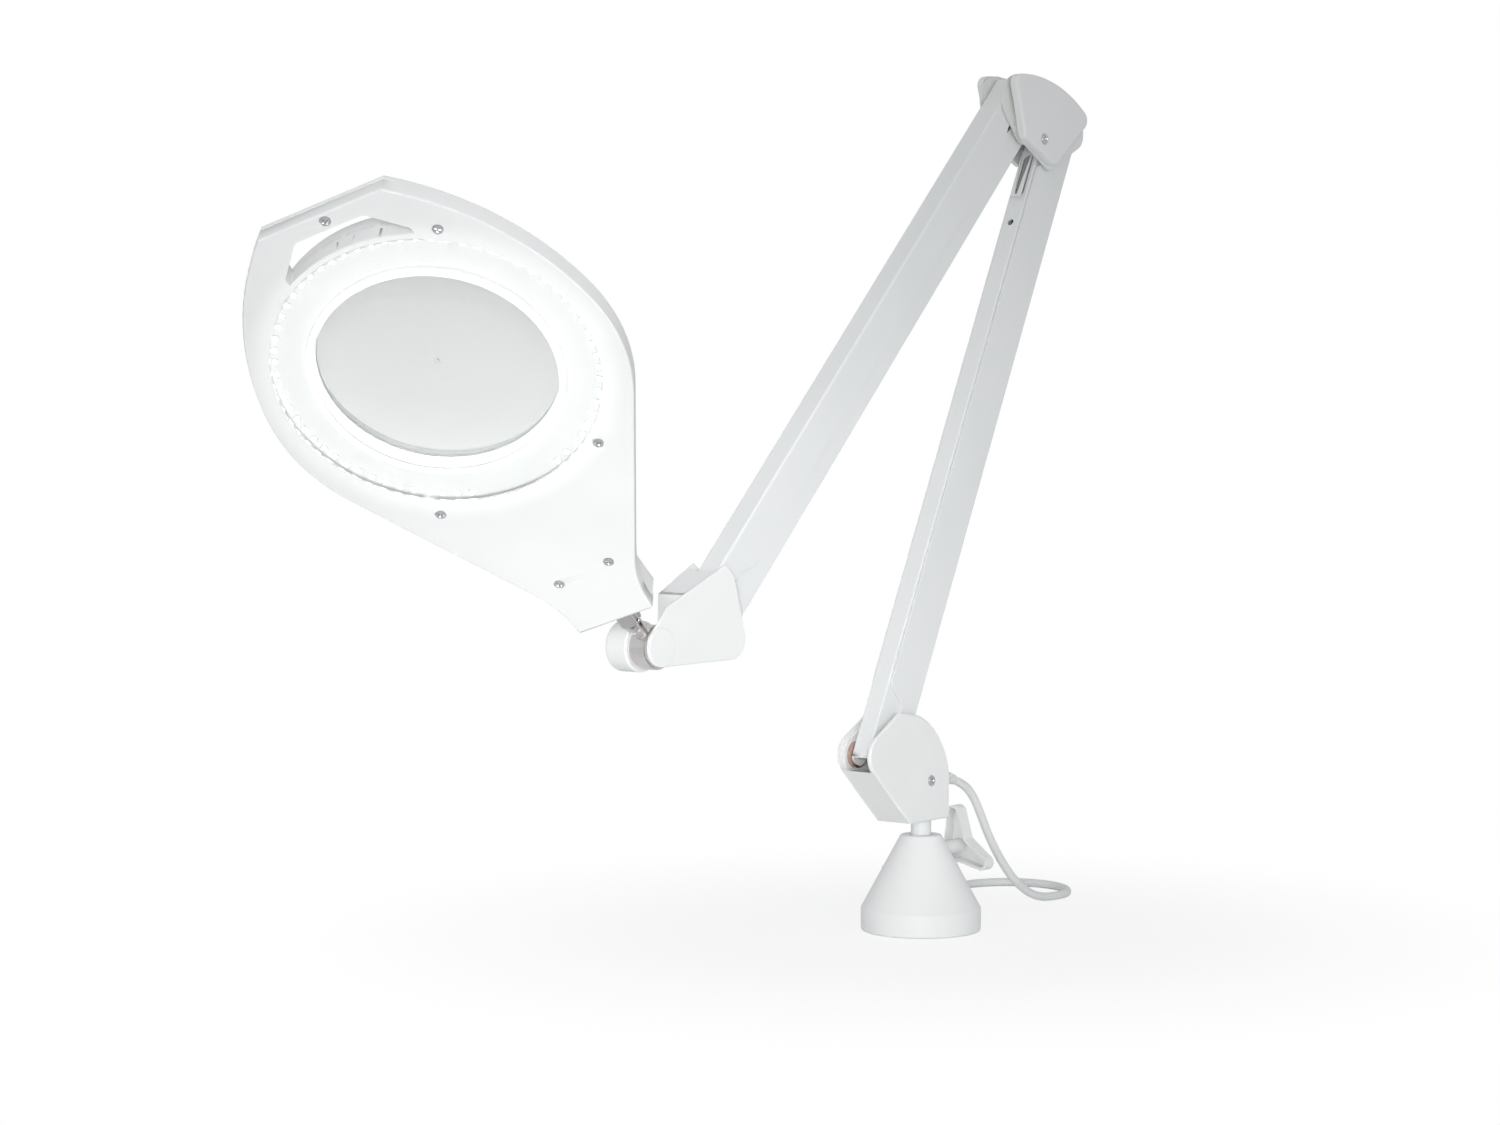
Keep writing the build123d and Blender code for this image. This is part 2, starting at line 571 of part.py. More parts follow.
def pivot_pins(pivots):
    """Steel pins, riveted flush in the bracket's ears."""
    body = Part()
    for pivot in pivots:
        body += cross_pin(pivot, PIN_R, -EAR_OUT, EAR_OUT)
    return body


def pivot_washers(pivots):
    """Nylon washers on the pins, between the outer channel and the ears."""
    body = Part()
    for pivot in pivots:
        face = Pos(pivot.X, pivot.Z) * (Circle(5.6) - Circle(PIN_R))
        body += both_sides(face, EAR_IN - LINER_T, EAR_IN)
    return body


# ================================================================ wrist
def at_wrist(x, z):
    return WRIST_TOP + Vector(x, 0, z)


def wrist_outline(with_nose):
    """Side view of the wrist's housing; the near side also has the nose for the boss."""
    heel_x = WRIST_BOTTOM.X - WRIST_TOP.X
    heel_z = WRIST_BOTTOM.Z - WRIST_TOP.Z
    tilt_x, tilt_z = TILT_AT
    if with_nose:
        front = [Line((4.5, 18), (tilt_x + 6.5, tilt_z + 23)),
                 Line((tilt_x + 6.5, tilt_z + 23), (tilt_x - 7.2, tilt_z + 8.4)),
                 ThreePointArc((tilt_x - 7.2, tilt_z + 8.4), (tilt_x - BOSS_R, tilt_z),
                               (tilt_x, tilt_z - BOSS_R)),
                 Line((tilt_x, tilt_z - BOSS_R), (heel_x + 4, heel_z - 12.5))]
    else:
        front = [Line((4.5, 18), (tilt_x + 26, tilt_z + 28)),
                 Line((tilt_x + 26, tilt_z + 28), (tilt_x + 25, tilt_z - BOSS_R + 1)),
                 Line((tilt_x + 25, tilt_z - BOSS_R + 1), (heel_x + 4, heel_z - 12.5))]
    back = [ThreePointArc((heel_x + 4, heel_z - 12.5), (heel_x + 12, heel_z - 8.5), (heel_x + 15.3, heel_z)),
            Line((heel_x + 15.3, heel_z), (12, 12)),
            Line((12, 12), (4.5, 18))]
    return Pos(WRIST_TOP.X, WRIST_TOP.Z) * closed(*front, *back)


def wrist_rim(half_depth):
    """Bottom and front walls between the side plates, open where the arm swings."""
    outline = wrist_outline(False)
    walls = slab(outline - offset(outline, -SHELL_WALL), -half_depth, 0)
    keep_low = Pos(WRIST_TOP.X - 10, WRIST_BOTTOM.Z - 12.5) * Rectangle(80, 5)
    keep_front = Pos(WRIST_TOP.X + TILT_AT[0] + 25, WRIST_BOTTOM.Z) * Rectangle(6, 100)
    return walls & slab(keep_low + keep_front, -half_depth, 0)


def wrist_cover_near():
    half = WRIST_W / 2
    plate = slab(wrist_outline(True), -half, -EAR_OUT - 1.15)
    plate = fillet(plate.faces().sort_by(Axis.Y)[0].edges(), 0.6)
    boss = cross_pin(TILT, BOSS_R, BOSS_Y, -half + 0.5)
    boss = fillet(boss.faces().sort_by(Axis.Y)[0].edges(), 0.6)
    slit = slab(offset(tilt_plate_face(), 0.3), -EAR_OUT - 1.15, -EAR_OUT + 0.2)
    return plate + boss + (wrist_rim(half - 0.5) - slit)


def wrist_cover_far():
    half = WRIST_W / 2
    plate = slab(wrist_outline(False), COVER_IN, half)
    plate = fillet(plate.faces().sort_by(Axis.Y)[-1].edges(), 1.0)
    return plate + mirror(wrist_rim(half - 0.5), Plane.XZ)


def wrist_bracket():
    """Steel fork at the end of the upper arm: two ears and a floor."""
    heel_x = WRIST_BOTTOM.X - WRIST_TOP.X
    heel_z = WRIST_BOTTOM.Z - WRIST_TOP.Z
    ear = Pos(WRIST_TOP.X, WRIST_TOP.Z) * hull_of(
        [(0, 0, 9), (heel_x, heel_z, 8.8), (-15, heel_z - 2, 6)])
    body = both_sides(ear, EAR_IN, EAR_OUT)
    block = at_wrist(-16, heel_z - 3)
    body += Pos(block.X, 0, block.Z) * Box(8, 2 * EAR_OUT, 7)
    for pivot in (WRIST_TOP, WRIST_BOTTOM):
        body -= cross_pin(pivot, PIN_R, -WRIST_W, WRIST_W)
    return body


def tilt_plate_face():
    tilt_x, tilt_z = TILT_AT
    return Pos(WRIST_TOP.X, WRIST_TOP.Z) * hull_of([(tilt_x, tilt_z, BOSS_R - 1.4), (-12, -18, 9)])


def tilt_plate():
    """Steel plate riveted to the near ear; it carries the tilt spindle."""
    plate = slab(tilt_plate_face(), -EAR_OUT - TILT_PLATE_T, -EAR_OUT)
    return plate - cross_pin(TILT, SPINDLE_R, -WRIST_W, 0)


def tilt_spindle():
    """Shouldered spindle through the drum, threaded at the far end for the knob."""
    return cross_pin(TILT, SPINDLE_R, -EAR_OUT - TILT_PLATE_T, DRUM_FAR + 9)


def tilt_drum():
    """Friction drum that the strap grips."""
    face = Pos(TILT.X, TILT.Z) * (Circle(DRUM_R) - Circle(SPINDLE_R + 0.02))
    return slab(face, DRUM_Y - STRAP_W / 2, DRUM_FAR)


def tilt_washer():
    face = Pos(TILT.X, TILT.Z) * (Circle(DRUM_R - 1) - Circle(SPINDLE_R + 0.02))
    return slab(face, DRUM_FAR, DRUM_FAR + 0.8)


def tilt_knob():
    """Round clamp knob on the far end of the spindle."""
    y_low = DRUM_FAR + 0.9
    body = cross_pin(TILT, TILT_KNOB_R, y_low, y_low + TILT_KNOB_T)
    body = fillet(body.edges().filter_by(GeomType.CIRCLE).sort_by(Axis.Y)[-1], 2.5)
    body -= cross_pin(TILT, SPINDLE_R + PIN_FIT, y_low - 1, DRUM_FAR + 9.4)
    return body


# ================================================================ neck
def tilt_strap():
    """Chromed strap: a band round the drum whose two ends run side by side to the stem."""
    half = STRAP_W / 2
    band_in = DRUM_R + DRUM_FIT
    face = Circle(band_in + STRAP_T) - Circle(band_in)
    legs = Pos(0, 0) * Rectangle(STRAP_END, 2 * STRAP_SPREAD + 2 * STRAP_T,
                                 align=(Align.MIN, Align.CENTER))
    face = face + (legs - Circle(band_in))
    face -= Rectangle(STRAP_END, 2 * STRAP_SPREAD, align=(Align.MIN, Align.CENTER))
    body = extrude(face, half, both=True)
    body -= Pos(STRAP_SCREW_U, 0, 0) * Rot(90, 0, 0) * Cylinder(1.7, 20)
    return NECK * body


def strap_screw():
    """Draws the strap's legs together."""
    reach = STRAP_SPREAD + STRAP_T
    head = extrude(Circle(2.9), 1.8)
    nut = Pos(0, 0, -2 * reach - 1.8) * extrude(RegularPolygon(3.0, 6), 1.8)
    shank = Pos(0, 0, -2 * reach - 1) * extrude(Circle(1.6), 2 * reach + 1.5)
    return NECK * Pos(STRAP_SCREW_U, 0, 0) * Rot(90, 0, 0) * Pos(0, 0, reach) * (head + nut + shank)


def neck_stem():
    """Stem that the strap's legs grip; the head turns on its shaft."""
    spin = Rot(0, 90, 0)
    long = NECK_FACE - 0.5 - STEM_START
    clamp = Pos(STEM_START + long / 2, 0, 0) * spin * Cylinder(STEM_CLAMP_R, long)
    reach = STRAP_SPREAD + STRAP_T
    slot_length = STRAP_END + 0.3 - STEM_START + 1
    upper = Pos(STEM_START - 1 + slot_length / 2, 0, 0) * Box(slot_length, 2 * reach + 0.02, STRAP_W + 10)
    tongue = Pos(STEM_START + 5, 0, 0) * Box(10, 2 * STRAP_SPREAD - 0.02, STRAP_W - 2)
    shaft = Pos(NECK_FACE + 12, 0, 0) * spin * Cylinder(STEM_SHAFT_R, 27)
    return NECK * (clamp - upper + tongue + shaft)


def stem_clip():
    """Ring that keeps the stem in the head."""
    face = Circle(7.5) - Circle(STEM_SHAFT_R + 0.02)
    return NECK * Pos(NECK_FACE + 23, 0, 0) * Rot(0, 90, 0) * extrude(face, 1.2)


# ================================================================ head, in its own plane
def head_outline():
    """Teardrop: a straight tip, full shoulders, straight flanks and a narrow neck."""
    turn = math.radians(FLANK_SLOPE)
    front = math.radians(10)
    shoulder = (HEAD_R_U + HEAD_R * math.sin(front), HEAD_R * math.cos(front))
    tangent = (HEAD_R_U - HEAD_R * math.sin(turn), HEAD_R * math.cos(turn))
    nape = (tangent[0] - (tangent[1] - NECK_HALF) / math.tan(turn), NECK_HALF)
    mid = ((TIP_U + shoulder[0]) / 2 + 4, (TIP_HALF + shoulder[1]) / 2 + 10)
    half = [Line((TIP_U, 0), (TIP_U, TIP_HALF)),
            ThreePointArc((TIP_U, TIP_HALF), mid, shoulder),
            ThreePointArc(shoulder, (HEAD_R_U, HEAD_R), tangent),
            Line(tangent, nape),
            Line(nape, (NECK_END_U, NECK_HALF)),
            Line((NECK_END_U, NECK_HALF), (NECK_END_U, 0))]
    half_face = make_face(Curve() + half + Line((NECK_END_U, 0), (TIP_U, 0)))
    face = half_face + mirror(half_face, Plane.XZ)
    return fillet(face.vertices().filter_by_position(Axis.X, nape[0] - 1, nape[0] + 1), NAPE_R)


def hand_slot(grow=0.0):
    """Crescent opening between the round lens housing and the straight tip."""
    block = Pos(SLOT_OUTER_U + grow, 0) * Rectangle(40, 2 * (SLOT_HALF + grow), align=(Align.MAX, Align.CENTER))
    face = block - Circle(SLOT_INNER_R - grow)
    return fillet(face.vertices(), 2.5 + grow)


def hump_face(shrink):
    """Plan of the raised neck, from the lens ring's back to the neck's end."""
    end = NECK_END_U + (0 if shrink == 0 else 24)
    length = HUMP_FRONT - shrink - end
    face = Pos(end, 0) * Rectangle(length, 2 * (NECK_HALF - 1 - shrink), align=(Align.MIN, Align.CENTER))
    return fillet(face.vertices().group_by(Axis.X)[-1], 9 - shrink)


def head_solid():
    """The closed outer form of both shells."""
    outline = head_outline()
    body = extrude(outline, HEAD_T)
    body = fillet(body.faces().sort_by(Axis.Z)[-1].edges(), 2.0)
    body = fillet(body.faces().sort_by(Axis.Z)[0].edges(), 1.0)
    raised = extrude(Circle(RING_R), RING_TOP)
    raised = fillet(raised.edges().group_by(Axis.Z)[-1], 2.5)
    hump = extrude(hump_face(0), HUMP_TOP)
    hump = fillet(hump.edges().group_by(Axis.Z)[-1], 4)
    return body + raised + hump


def head_cavity():
    """What the two shells enclose, apart from the lens tube and the solid neck end."""
    wall = HEAD_WALL
    room = Pos(0, 0, wall) * extrude(offset(head_outline(), -wall), HEAD_T - 2 * wall)
    room -= extrude(hand_slot(wall), HEAD_T)
    room -= Pos(NECK_END_U, 0, 0) * Box(48, 80, 60)
    room += ring(LENS_R + 3, RING_R - wall, wall, RING_TOP - wall)
    room += Pos(0, 0, wall) * extrude(hump_face(wall), HUMP_TOP - 2 * wall)
    room -= extrude(Circle(LENS_R + 3), 60)
    for u, v in HEAD_SCREWS:
        room -= Pos(u, v) * extrude(Circle(4.2), 60)
    return room


def neck_bore(radius, depth):
    return (Pos(NECK_END_U - 1 + depth / 2, 0, NECK_RISE) * Rot(0, 90, 0) * Cylinder(radius, depth + 1))


def head_shells():
    """Lower and upper shell, parted on a level plane."""
    body = head_solid() - head_cavity() - extrude(hand_slot(), 60)
    body -= extrude(Circle(LENS_R + 0.25), 60)
    body -= neck_bore(BUSH_R + 0.02, 26)
    for u, v in HEAD_SCREWS:
        body -= Pos(u, v) * extrude(Circle(1.5), HEAD_T - 2)
        body -= Pos(u, v) * extrude(Circle(SCREW_HEAD_R + HEAD_CLEARANCE), 1.0)
    split = Pos(0, 0, HEAD_SPLIT)
    below = split * Pos(0, 0, -50) * Box(700, 700, 100)
    above = split * Pos(0, 0, 50) * Box(700, 700, 100)
    lower = (body & below) - extrude(Circle(LED_COVER_R + 0.15), HEAD_SPLIT + 1)
    upper = body & above
    upper += ring(LENS_R + 0.25, LENS_R + 2.6, HEAD_SPLIT - 3.2, HEAD_SPLIT + 1)
    switch = Pos(SWITCH_U, 0, HUMP_TOP - 8) * Box(SWITCH_L, SWITCH_W, 20)
    return lower, upper - switch


def neck_bush():
    face = Circle(BUSH_R) - Circle(STEM_SHAFT_R + PIN_FIT)
    return Pos(NECK_END_U + 1, 0, NECK_RISE) * Rot(0, 90, 0) * extrude(face, 22)


def lens():
    """Biconvex five-inch lens with a flat edge band: a disc cut by two large spheres."""
    sphere_r = (LENS_R ** 2 + LENS_DOME ** 2) / (2 * LENS_DOME)
    rise = LENS_EDGE_T / 2 + LENS_DOME - sphere_r
    body = Cylinder(LENS_R, LENS_EDGE_T + 2 * LENS_DOME)
    body = body & Pos(0, 0, rise) * Sphere(sphere_r) & Pos(0, 0, -rise) * Sphere(sphere_r)
    return Pos(0, 0, LENS_Z) * body


def led_cover():
    """Clear ring over the LEDs; its inner lip carries the lens."""
    plate = ring(LENS_R - 1.0, LED_COVER_R, 0.2, 2.2)
    lip_top = LENS_Z - LENS_EDGE_T / 2 - 0.3
    return plate + ring(LENS_R - 1.0, LENS_R, 0.2, lip_top)


def lens_retainer():
    low = LENS_Z + LENS_EDGE_T / 2 + 0.35
    return ring(LENS_R - 1.4, LENS_R + 0.15, low, low + 2.2)


def led_board():
    return ring(LENS_R + 3.2, LED_COVER_R - 0.6, BOARD_Z, BOARD_Z + 1.6)


def led_emitters():
    """Surface-mount LEDs around the lens, with a gap toward the neck."""
    body = Part()
    span = LED_PITCH * (LED_COUNT - 1)
    for index in range(LED_COUNT):
        angle = index * LED_PITCH - span / 2
        at = Rot(0, 0, angle) * Pos(LED_R, 0, BOARD_Z - 0.5)
        body += at * Box(LED_SIZE, LED_SIZE, 1.0)
    return body


def driver_board():
    """LED driver in the neck, with its largest parts."""
    board = Pos(-123, 0, 3.4) * Box(44, 30, 1.6)
    coil = Pos(-110, 6, 4.2) * extrude(Circle(6), 8)
    cap = Pos(-139, -6, 4.2) * extrude(Circle(4.5), 9)
    chip = Pos(-112, -9, 5.2) * Box(10, 7, 2)
    return board + coil + cap + chip


def head_screws():
    body = Part()
    for u, v in HEAD_SCREWS:
        head = Pos(u, v, 1.0) * Rot(180, 0, 0) * screw_head(SCREW_HEAD_R, 1.2)
        body += head + Pos(u, v, 1.0) * extrude(Circle(1.4), HEAD_T - 4)
    return body


def switch_body():
    top = HUMP_TOP + 0.6
    frame = Pos(SWITCH_U, 0, HUMP_TOP + 0.3) * Box(SWITCH_L + 2, SWITCH_W + 2, 0.6)
    case = Pos(SWITCH_U, 0, HUMP_TOP - 5) * Box(SWITCH_L - 0.2, SWITCH_W - 0.2, 10)
    well = Pos(SWITCH_U, 0, top - 3.5) * Box(SWITCH_L - 3, SWITCH_W - 2.6, 7.01)
    return frame + case - well


def switch_rocker():
    """Rocker that pivots on a level axis across the neck."""
    length = SWITCH_L - 4.4
    face = closed(
        Line((-length / 2, 1.2), (-length / 2, -1.0)),
        ThreePointArc((-length / 2, -1.0), (0, -5.2), (length / 2, -1.0)),
        Line((length / 2, -1.0), (length / 2, 1.2)),
        ThreePointArc((length / 2, 1.2), (0, 0.3), (-length / 2, 1.2)))
    body = Plane.XZ * face
    body = extrude(body, (SWITCH_W - 3.2) / 2, both=True)
    return Pos(SWITCH_U, 0, ROCKER_Z) * body


def lens_lid():
    """Dust cover over the lens, with two hinge knuckles at the neck side."""
    base = RING_TOP + LID_GAP
    body = Pos(0, 0, base) * extrude(Circle(RING_R - 1), LID_T)
    body = fillet(body.edges().group_by(Axis.Z)[-1], 1.2)
    for side in (-1, 1):
        knuckle = Pos(HINGE_U, side * 9, HINGE_Z) * Rot(90, 0, 0) * Cylinder(2.4, 7)
        web = Pos((HINGE_U - RING_R + 3) / 2, side * 9, HINGE_Z) * Box(abs(HINGE_U) - RING_R + 5, 7, 2.2)
        body += knuckle + web
    body -= Pos(HINGE_U, 0, HINGE_Z) * Rot(90, 0, 0) * Cylinder(HINGE_PIN_R + 0.1, 40)
    catch = Pos(RING_R - 1.5, 0, base + LID_T / 2) * Box(6, 14, LID_T - 0.8)
    return body + catch


def lid_hinge():
    """Fixed hinge block on the lens ring's back, between the lid's knuckles, with its pin."""
    height = HINGE_Z - HEAD_T
    post = Pos(HINGE_U, 0, HEAD_T + height / 2) * Box(4.6, 10, height)
    post += Pos(HINGE_U, 0, HINGE_Z) * Rot(90, 0, 0) * Cylinder(2.3, 10)
    pin = Pos(HINGE_U, 0, HINGE_Z) * Rot(90, 0, 0) * Cylinder(HINGE_PIN_R, 26)
    return post + pin


# ================================================================ mains cord
# The lead leaves the turret's back, arcs down behind the clamp knob, turns round on the
# surface and ends in a tied hank behind the base, with its plug lying on the hank.
CORD_POINTS = [
    (44.8, 0, 87.5), (54.6, 0, 79.6), (62.4, 0, 68.0), (72.5, 0, 51.0), (85.0, 0, 35.0),
    (101.5, 0, 18.6), (127.0, 0.5, 4.6), (163.7, 3.0, 2.75), (180.0, 11.3, 2.75),
    (190.7, 26.0, 2.75), (193.6, 44.1, 2.75), (187.9, 61.4, 2.75), (175.0, 74.3, 2.75),
    (157.7, 80.0, 2.75), (139.6, 77.1, 2.75)]
HANK = Plane(origin=(HANK_DIR[0] * HANK_START, HANK_DIR[1] * HANK_START, 0), x_dir=(*HANK_DIR, 0),
             z_dir=(0, 0, 1))
HANK_OUTER = HANK_FOLD + 2 * CORD_R * HANK_COLUMNS - CORD_R       # half of its width
HANK_LENGTH = HANK_RUN + 2 * HANK_OUTER
HANK_H = 2 * CORD_R * HANK_LAYERS


def cord_route():
    """From the relief's end to the hank's outer turn, where its first run begins."""
    start = GLAND.origin + GLAND.z_dir * RELIEF_LENGTH
    end = HANK.from_local_coords(Vector(HANK_OUTER + HANK_RUN, CORD_R - HANK_OUTER, CORD_R))
    return [start] + [Vector(*point) for point in CORD_POINTS] + [end]


def fillet_radii(points):
    """For each corner: 0.45 of its shorter run, divided by the tangent of half the turn."""
    radii = []
    for before, corner, after in zip(points, points[1:], points[2:]):
        turn = math.radians((corner - before).get_angle(after - corner))
        run = min((corner - before).length, (after - corner).length)
        radii.append(0.45 * run / math.tan(turn / 2))
    return radii


def cord_tube():
    points = cord_route()
    radii = fillet_radii(points)
    path = FilletPolyline(*points, radius=radii)
    print("cord radii", " ".join(f"{radius:.0f}" for radius in radii))
    section = Plane(origin=path @ 0, z_dir=path % 0) * Circle(CORD_R)
    tube = sweep(section, path=path)
    print(f"cord length {path.length:.1f}, volume over section x length "
          f"{tube.volume / (math.pi * CORD_R ** 2 * path.length):.4f}")
    return tube


def cord_pieces():
    """The tube, parted level where it passes from the turret to the base."""
    tube = cord_tube()
    above = Pos(0, 0, CORD_SPLIT_Z + 100) * Box(900, 900, 200)
    return tube & above, tube - above


def cord_hank():
    """Outer form of the folded length: rounded turns, side by side and on each other."""
    body = extrude(SlotOverall(HANK_LENGTH, 2 * HANK_OUTER), HANK_H)
    body = fillet(body.faces().sort_by(Axis.Z)[-1].edges(), CORD_R - 0.05)
    return HANK * Pos(HANK_LENGTH / 2, 0, 0) * body


def cord_tie():
    """Strap round the hank, open at the surface that the hank lies on."""
    inner = fillet(Rectangle(2 * HANK_H + 0.1, 2 * HANK_OUTER + 0.1).vertices(), CORD_R)
    band = extrude(offset(inner, TIE_T) - inner, TIE_W)
    band = HANK * Pos(HANK_LENGTH * TIE_AT, 0, 0) * Rot(0, 90, 0) * band
    return band & Pos(0, 0, 50) * Box(900, 900, 100)


def mains_plug():
    """Flat two-pin plug on the hank, its bend relief sloping down to the top turn."""
    body = extrude(fillet(Rectangle(PLUG_H, PLUG_W).vertices(), 4), PLUG_L)
    body = fillet(body.faces().sort_by(Axis.Z)[0].edges(), 1.5)
    for v in (-9.3, 9.3):
        body += Pos(0, v, -PLUG_PIN_L) * extrude(Circle(2.0), PLUG_PIN_L + 1)
    seat = HANK * Pos(PLUG_AT, 0, HANK_H + PLUG_H / 2) * Rot(0, 90, 0)
    slope = math.asin((PLUG_H / 2 + CORD_R) / (PLUG_TAIL + 3))
    tail = Pos(0, 0, PLUG_L - 3) * Rot(0, math.degrees(slope), 0)
    relief = loft([Circle(CORD_R + 1.8), Pos(0, 0, PLUG_TAIL + 3) * Circle(CORD_R + 0.4)])
    return seat * (body + tail * relief)


# ================================================================ build and write
def build():
    """Every node by name."""
    lower_shell, upper_shell = head_shells()
    cord_drop, cord_run = cord_pieces()
    spread_low = PIVOT_GAP * LOWER_DIR.Z
    lag_low = -PIVOT_GAP * LOWER_DIR.X
    gap = ELBOW_BOTTOM - ELBOW_TOP
    lag_up = gap.dot(UPPER_DIR)
    spread_up = gap.dot(UPPER_OUTER.y_dir)
    nodes = {
        "base_socket": base_socket(),
        "cone_cover": cone_cover(),
        "clamp_knob": clamp_knob(),
        "turret_bracket": turret_bracket(),
        "turret_cover_near": turret_cover(-1),
        "turret_cover_far": turret_cover(1),
        "turret_screws": turret_screws(),
        "turret_pivot_pins": pivot_pins([TURRET_REAR, TURRET_FRONT]),
        "turret_washers": pivot_washers([TURRET_REAR]),
        "cord_gland": cord_gland(),
        "lower_outer_channel": LOWER_OUTER * outer_channel(LOWER_DEPTH),
        "lower_spring": LOWER_OUTER * arm_spring(),
        "lower_inner_channel": LOWER_INNER * elbow_relief(inner_channel(spread_low, lag_low)),
        "elbow_bracket": elbow_bracket(),
        "elbow_cap_near": elbow_cap(),
        "elbow_cap_far": mirror(elbow_cap(), Plane.XZ),
        "elbow_liner": elbow_liner(),
        "elbow_screws": cover_screws(ELBOW_SCREW, ELBOW_W / 2, EAR_IN),
        "elbow_pivot_pins": pivot_pins([ELBOW_REAR, ELBOW_FRONT, ELBOW_TOP, ELBOW_BOTTOM]),
        "elbow_washers": pivot_washers([ELBOW_REAR]),
        "upper_outer_channel": UPPER_OUTER * outer_channel(UPPER_DEPTH),
        "upper_spring": UPPER_OUTER * arm_spring(),
        "upper_inner_channel": UPPER_INNER * inner_channel(spread_up, lag_up),
        "wrist_bracket": wrist_bracket(),
        "wrist_cover_near": wrist_cover_near(),
        "wrist_cover_far": wrist_cover_far(),
        "wrist_pivot_pins": pivot_pins([WRIST_TOP, WRIST_BOTTOM]),
        "wrist_washers": pivot_washers([WRIST_TOP]),
        "tilt_plate": tilt_plate(),
        "tilt_spindle": tilt_spindle(),
        "tilt_drum": tilt_drum(),
        "tilt_washer": tilt_washer(),
        "tilt_knob": tilt_knob(),
        "tilt_strap": tilt_strap(),
        "strap_screw": strap_screw(),
        "neck_stem": neck_stem(),
        "stem_clip": stem_clip(),
        "head_lower_shell": HEAD * lower_shell,
        "head_upper_shell": HEAD * upper_shell,
        "neck_bush": HEAD * neck_bush(),
        "magnifier_lens": HEAD * lens(),
        "lens_retainer": HEAD * lens_retainer(),
        "led_cover": HEAD * led_cover(),
        "led_board": HEAD * led_board(),
        "led_emitters": HEAD * led_emitters(),
        "driver_board": HEAD * driver_board(),
        "head_screws": HEAD * head_screws(),
        "switch_body": HEAD * switch_body(),
        "switch_rocker": HEAD * switch_rocker(),
        "lens_lid": HEAD * lens_lid(),
        "lid_hinge": HEAD * lid_hinge(),
        "cord_drop": cord_drop,
        "cord_run": cord_run,
        "cord_hank": cord_hank(),
        "cord_tie": cord_tie(),
        "mains_plug": mains_plug(),
    }
    return nodes


os.makedirs("parts", exist_ok=True)
for name, shape in build().items():
    export_step(shape, f"parts/{name}.step")
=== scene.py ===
# Spring-balanced magnifier lamp: finishes, cord, springs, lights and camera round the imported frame.
import json
import math

import bmesh
import bpy
from mathutils import Matrix, Vector


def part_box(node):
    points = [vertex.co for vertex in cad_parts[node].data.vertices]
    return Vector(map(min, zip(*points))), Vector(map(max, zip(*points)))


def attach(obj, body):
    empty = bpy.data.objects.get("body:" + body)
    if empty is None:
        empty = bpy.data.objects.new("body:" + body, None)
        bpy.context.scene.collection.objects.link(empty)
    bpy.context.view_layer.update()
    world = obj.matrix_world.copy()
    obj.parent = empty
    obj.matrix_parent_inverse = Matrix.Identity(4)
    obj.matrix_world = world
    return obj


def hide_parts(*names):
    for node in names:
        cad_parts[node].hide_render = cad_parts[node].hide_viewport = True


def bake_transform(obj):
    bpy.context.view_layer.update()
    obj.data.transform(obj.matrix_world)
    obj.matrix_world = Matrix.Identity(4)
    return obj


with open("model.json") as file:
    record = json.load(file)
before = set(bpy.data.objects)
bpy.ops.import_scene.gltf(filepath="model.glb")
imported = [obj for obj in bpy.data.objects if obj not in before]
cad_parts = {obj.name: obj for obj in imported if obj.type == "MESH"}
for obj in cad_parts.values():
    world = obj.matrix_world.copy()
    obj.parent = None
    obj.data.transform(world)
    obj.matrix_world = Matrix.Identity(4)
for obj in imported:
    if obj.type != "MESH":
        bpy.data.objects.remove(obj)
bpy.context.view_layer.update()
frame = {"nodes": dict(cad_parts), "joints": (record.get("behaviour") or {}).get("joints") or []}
cadNodes = frame["nodes"]
joints = {joint["name"]: joint for joint in frame["joints"]}
scene = bpy.context.scene
mm = 0.001
print("frame loaded:", len(cadNodes), "pieces")


def jointAt(name):
    return Vector(joints[name]["pos_m"])


def jointAxis(name):
    return Vector(joints[name]["axis"]).normalized()


def placing(origin, xAxis, yAxis):
    # a matrix that carries local X and Y onto two directions at right angles
    x, y = xAxis.normalized(), yAxis.normalized()
    return Matrix.Translation(origin) @ Matrix((x, y, x.cross(y))).transposed().to_4x4()


def placingAlong(origin, zAxis):
    turn = Vector((0, 0, 1)).rotation_difference(zAxis.normalized())
    return Matrix.Translation(origin) @ turn.to_matrix().to_4x4()


# Local frames of the arms and the head, worked out from their joints.
toNear = Vector((0, -1, 0))
lowerRun = (jointAt("elbow_level") - jointAt("lower_arm_lean")).normalized()
upperRun = (jointAt("wrist_level") - jointAt("upper_arm_lean")).normalized()
lowerArm = placing(jointAt("lower_arm_lean"), lowerRun, toNear.cross(lowerRun))
upperArm = placing(jointAt("upper_arm_lean"), upperRun, toNear.cross(upperRun))
lensHeight = 12 * mm      # middle of the lens above the head's lower face
neckAxis, headSide = jointAxis("head_roll"), jointAxis("switch_rock")
headTurn = placing(Vector(), neckAxis, headSide)
lensMiddle = sum(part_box("magnifier_lens"), Vector()) / 2
head = Matrix.Translation(lensMiddle - headTurn @ Vector((0, 0, lensHeight))) @ headTurn
hank = placing(Vector((32.8, 24.6, 0)) * mm, Vector((0.8, 0.6, 0)), Vector((-0.6, 0.8, 0)))

# Camera
shot = {"place": (-1.564, -1.173, 0.319), "toward": (0.7652, 0.6421, -0.0457), "lens": 75.4}


